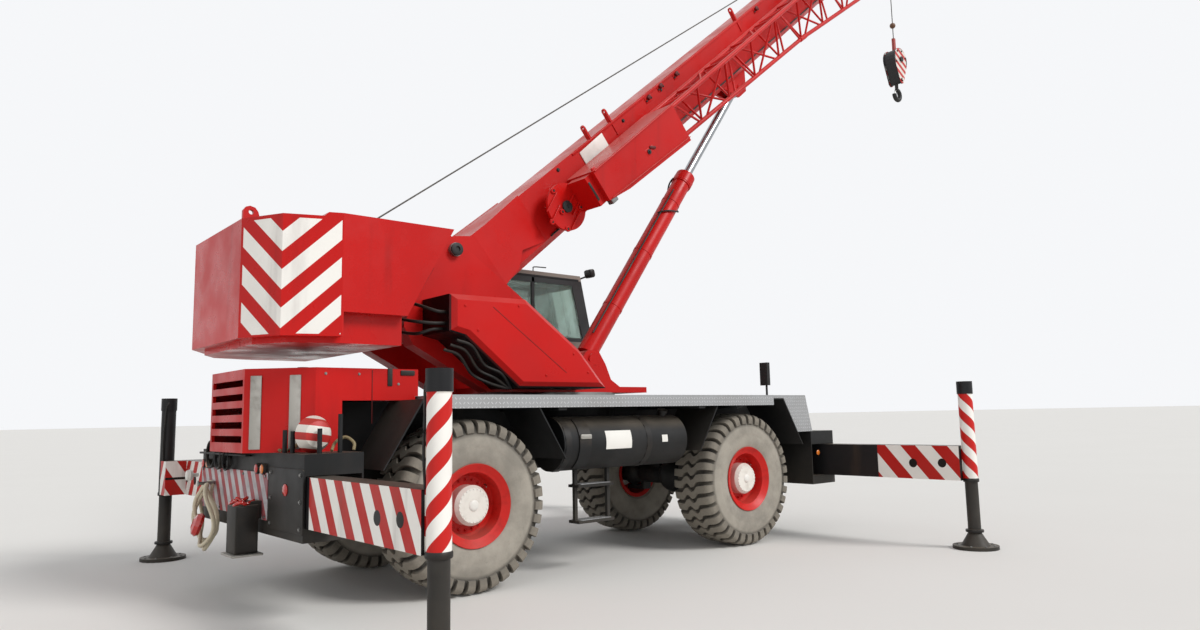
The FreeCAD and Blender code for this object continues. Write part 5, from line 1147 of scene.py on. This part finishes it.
# The solid tip's side plate has a lip along its upper and lower edges, and a sensor below.
plates("boom_base", ALONG, LEFTWARD, [
    ("jib_box_upper_lip", "red", (3.03, -0.842, -0.283), (1.84, 0.05, 0.014), 0.003, 0.004),
    ("jib_sensor", "steel", (2.234, -0.74, -0.735), (0.12, 0.1, 0.08), 0.012, 0.02)], on_boom)
plates("boom_base", ALONG - 0.052 * ABOVE, LEFTWARD, [
    ("jib_box_lower_lip", "red", (3.05, -0.846, -0.735), (1.8, 0.04, 0.012), 0.003, 0.004)],
       on_boom)
knobs("boom_base", RIGHTWARD, [
    ("jib_box_latch_roller", "cast", (3.12, -0.838, -0.56),
     [(0.032, 0), (0.032, 0.016), (0.014, 0.018), (0.014, 0.03), (0.005, 0.032)], 24),
    ("hinge_plate_pin", "cast", (1.8, HINGE_FACE, -0.5),
     [(0.075, 0), (0.075, 0.02), (0.055, 0.03), (0.03, 0.032), (0.02, 0.02)], 28),
    *[(f"hinge_plate_boss_{k}", "red", (u, HINGE_FACE, v),
       [(0.036, 0), (0.036, 0.016), (0.031, 0.021), (0.018, 0.021), (0.016, 0.012)], 24)
      for k, (u, v) in enumerate(BOSSES)]], on_boom)
# Columns: name, place across, places along and above, radius, rise.
for name, y, places, radius, rise in [
        ("boom_side_bolts", -0.22, [(2.161, -0.118), (3.62, -0.16), (4.6, -0.16)], 0.02, 0.02),
        ("jib_box_bolts", -0.8205, [(2.3, -0.36), (2.3, -0.6), (3.85, -0.36), (3.85, -0.72),
                                    (3.05, -0.36)], 0.016, 0.016),
        *[(f"hinge_plate_bolt_{k}", -0.441, [place], 0.013, 0.013)
          for k, place in enumerate(BOSSES)],
        *[(f"boom_bracket_bolts_{k}", -0.228, [(u - 0.06, v - 0.02), (u + 0.06, v - 0.02)],
           0.012, 0.012) for k, (u, v) in enumerate(BRACKETS)]]:
    bolts(name, "boom_base", "cast", [on_boom(u, y, v) for u, v in places], RIGHTWARD, radius, rise)
pipe("boom_line", "boom_base", "hose",
     [on_boom(u, -0.232, -0.7) for u in (1.5, 2.6, 4.2, 6.0, 8.0, 9.6)], 0.012, 8, 4)

# Bolts in the sides of the section collars, and caps on the head's pins.
for side in SIDES:
    for name, body, u, half in (("base", "boom_base", 9.82, 0.2395),
                                ("first", "boom_section_1", 10.72, 0.2055),
                                ("second", "boom_section_2", 11.62, 0.1715)):
        bolts(f"{name}_collar_bolts_{side + 1}", body, "cast",
              [on_boom(u, side * half, v) for v in (-0.16, -0.32, -0.48)], (0, side, 0),
              0.016, 0.014)
    for u, v in ((13.47, -0.33), (13.14, -0.2)):
        turned(f"head_pin_cap_{side + 1}_{int(u * 10)}", "boom_fly", "steel",
               on_boom(u, side * 0.1165, v), (0, side, 0),
               [(0.045, 0), (0.045, 0.012), (0.032, 0.018), (0.01, 0.018)], 24)

# The rope from the main drum over the boom to the head, in spans that join one body to the next.
ROPE_RADIUS = 0.009
LIFT_OFF = (-0.187, 0.679)


def rope_point(u):
    """The rope's line above the boom: its height falls evenly from the drum's side to the head."""
    return on_boom(u, 0, np.interp(u, [LIFT_OFF[0], 7.577, 13.14], [LIFT_OFF[1], 0.142, -0.076]))


drum_side = middle("main_hoist_drum") + np.array([-0.6, 0, 0.8]) * 0.203
for name, first, second, points in (
        ("rope_from_drum", "superstructure", "boom_base",
         [drum_side, on_boom(LIFT_OFF[0], 0, LIFT_OFF[1]), rope_point(1.2)]),
        ("rope_over_base", "boom_base", "boom_section_1",
         [rope_point(u) for u in np.linspace(1.2, 7.577, 24)]),
        ("rope_over_first", "boom_section_1", "boom_section_2",
         [rope_point(u) for u in np.linspace(7.577, 10.5, 14)]),
        ("rope_over_second", "boom_section_2", "boom_fly",
         [rope_point(u) for u in np.linspace(10.5, 13.0, 14)])):
    steps = 10 if len(points) < 4 else 2
    piece = pipe(name, None, "wire", points, ROPE_RADIUS, 10, steps, LEFTWARD)
    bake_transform(piece)
t = np.radians(np.linspace(140, 20, 16))[:, None]
over_sheave = on_boom(13.14, 0, -0.2) + 0.128 * (np.cos(t) * np.array([1.0, 0, 0])
                                                  + np.sin(t) * np.array(UPWARD))
pipe("rope_at_head", "boom_fly", "wire", [rope_point(12.9), *over_sheave[2:]], ROPE_RADIUS, 10, 2,
     LEFTWARD)


# Lift cylinder and hook block

BARREL_ANGLE = math.radians(53.872)
BARREL_FOOT = at(0.4, 0, 2.4)
BARREL_WAY = np.array([math.cos(BARREL_ANGLE), 0, math.sin(BARREL_ANGLE)])
BARREL_OVER = np.array([-BARREL_WAY[2], 0, BARREL_WAY[0]])


def on_barrel(run, turn, lift, radius=0.135):
    """A place lift above the barrel's skin, run along it and turned from its upper side."""
    t = math.radians(turn)
    return (BARREL_FOOT + run * BARREL_WAY
            + (radius + lift) * (math.cos(t) * BARREL_OVER - math.sin(t) * ACROSS))


pipe("cylinder_pipe", "lift_barrel", "hose",
     [on_barrel(run, 35, 0.018) for run in (0.35, 1.0, 1.8, 2.6, 3.05)], 0.011, 8, 3, LEFTWARD)
pipe("cylinder_hose", "lift_barrel", "hose",
     [on_barrel(2.55 + 0.75 * s, 20 + 330 * s, 0.022) for s in np.linspace(0, 1, 60)], 0.012, 8, 0)
# Columns: name, finish, run along the barrel, closed profile, sides.
for name, paint, run, profile, sides in [
        ("cylinder_gland_ring", "red", 3.36,
         [(0.1465, -0.05), (0.152, -0.045), (0.152, 0.045), (0.1465, 0.05)], 48),
        ("cylinder_wiper", "soot", 3.48,
         [(0.0705, 0.0005), (0.092, 0.0005), (0.092, 0.012), (0.08, 0.022), (0.0705, 0.022)], 40),
        *[(f"cylinder_clip_{int(run * 10)}", "red", run,
           [(0.1345, -0.02), (0.14, -0.02), (0.14, 0.02), (0.1345, 0.02)], 48)
          for run in (0.9, 1.9, 2.9)]]:
    turned(name, "lift_barrel", paint, BARREL_FOOT + run * BARREL_WAY, BARREL_WAY, profile, sides,
           ring=True)
_, first, second = frame_of(BARREL_WAY)
bolts("cylinder_gland_bolts", "lift_barrel", "cast",
      [BARREL_FOOT + 3.479 * BARREL_WAY + (x * first + y * second)
       for x, y in bolt_circle(10, 0.115)], BARREL_WAY, 0.011, 0.014)

# Hook block: its pins' nuts, the cheeks' bolts, and the hook's latch.
hook_x, hook_top = middle("hook")[0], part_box("hook")[1][2]
block_z = hook_top + 0.496
for side in SIDES:
    turned(f"block_nut_{side + 1}", "hook_block", "cast", np.array([hook_x, side * 0.152, block_z]),
           (0, side, 0), [(0.06, 0), (0.06, 0.006), (0.052, 0.01), (0.02, 0.01)], 6, 20)
    bolts(f"block_bolts_{side + 1}", "hook_block", "cast",
          [np.array([hook_x + 0.19 * math.cos(a), side * 0.13, block_z + 0.19 * math.sin(a)])
           for a in np.radians([20, 75, 130, 205])], (0, side, 0), 0.015, 0.014)
pipe("hook_latch", "hook", "steel",
     [np.array([hook_x - back, 0, hook_top - down])
      for back, down in ((0.03, 0.13), (0.075, 0.17), (0.1, 0.215))], 0.01, 8)
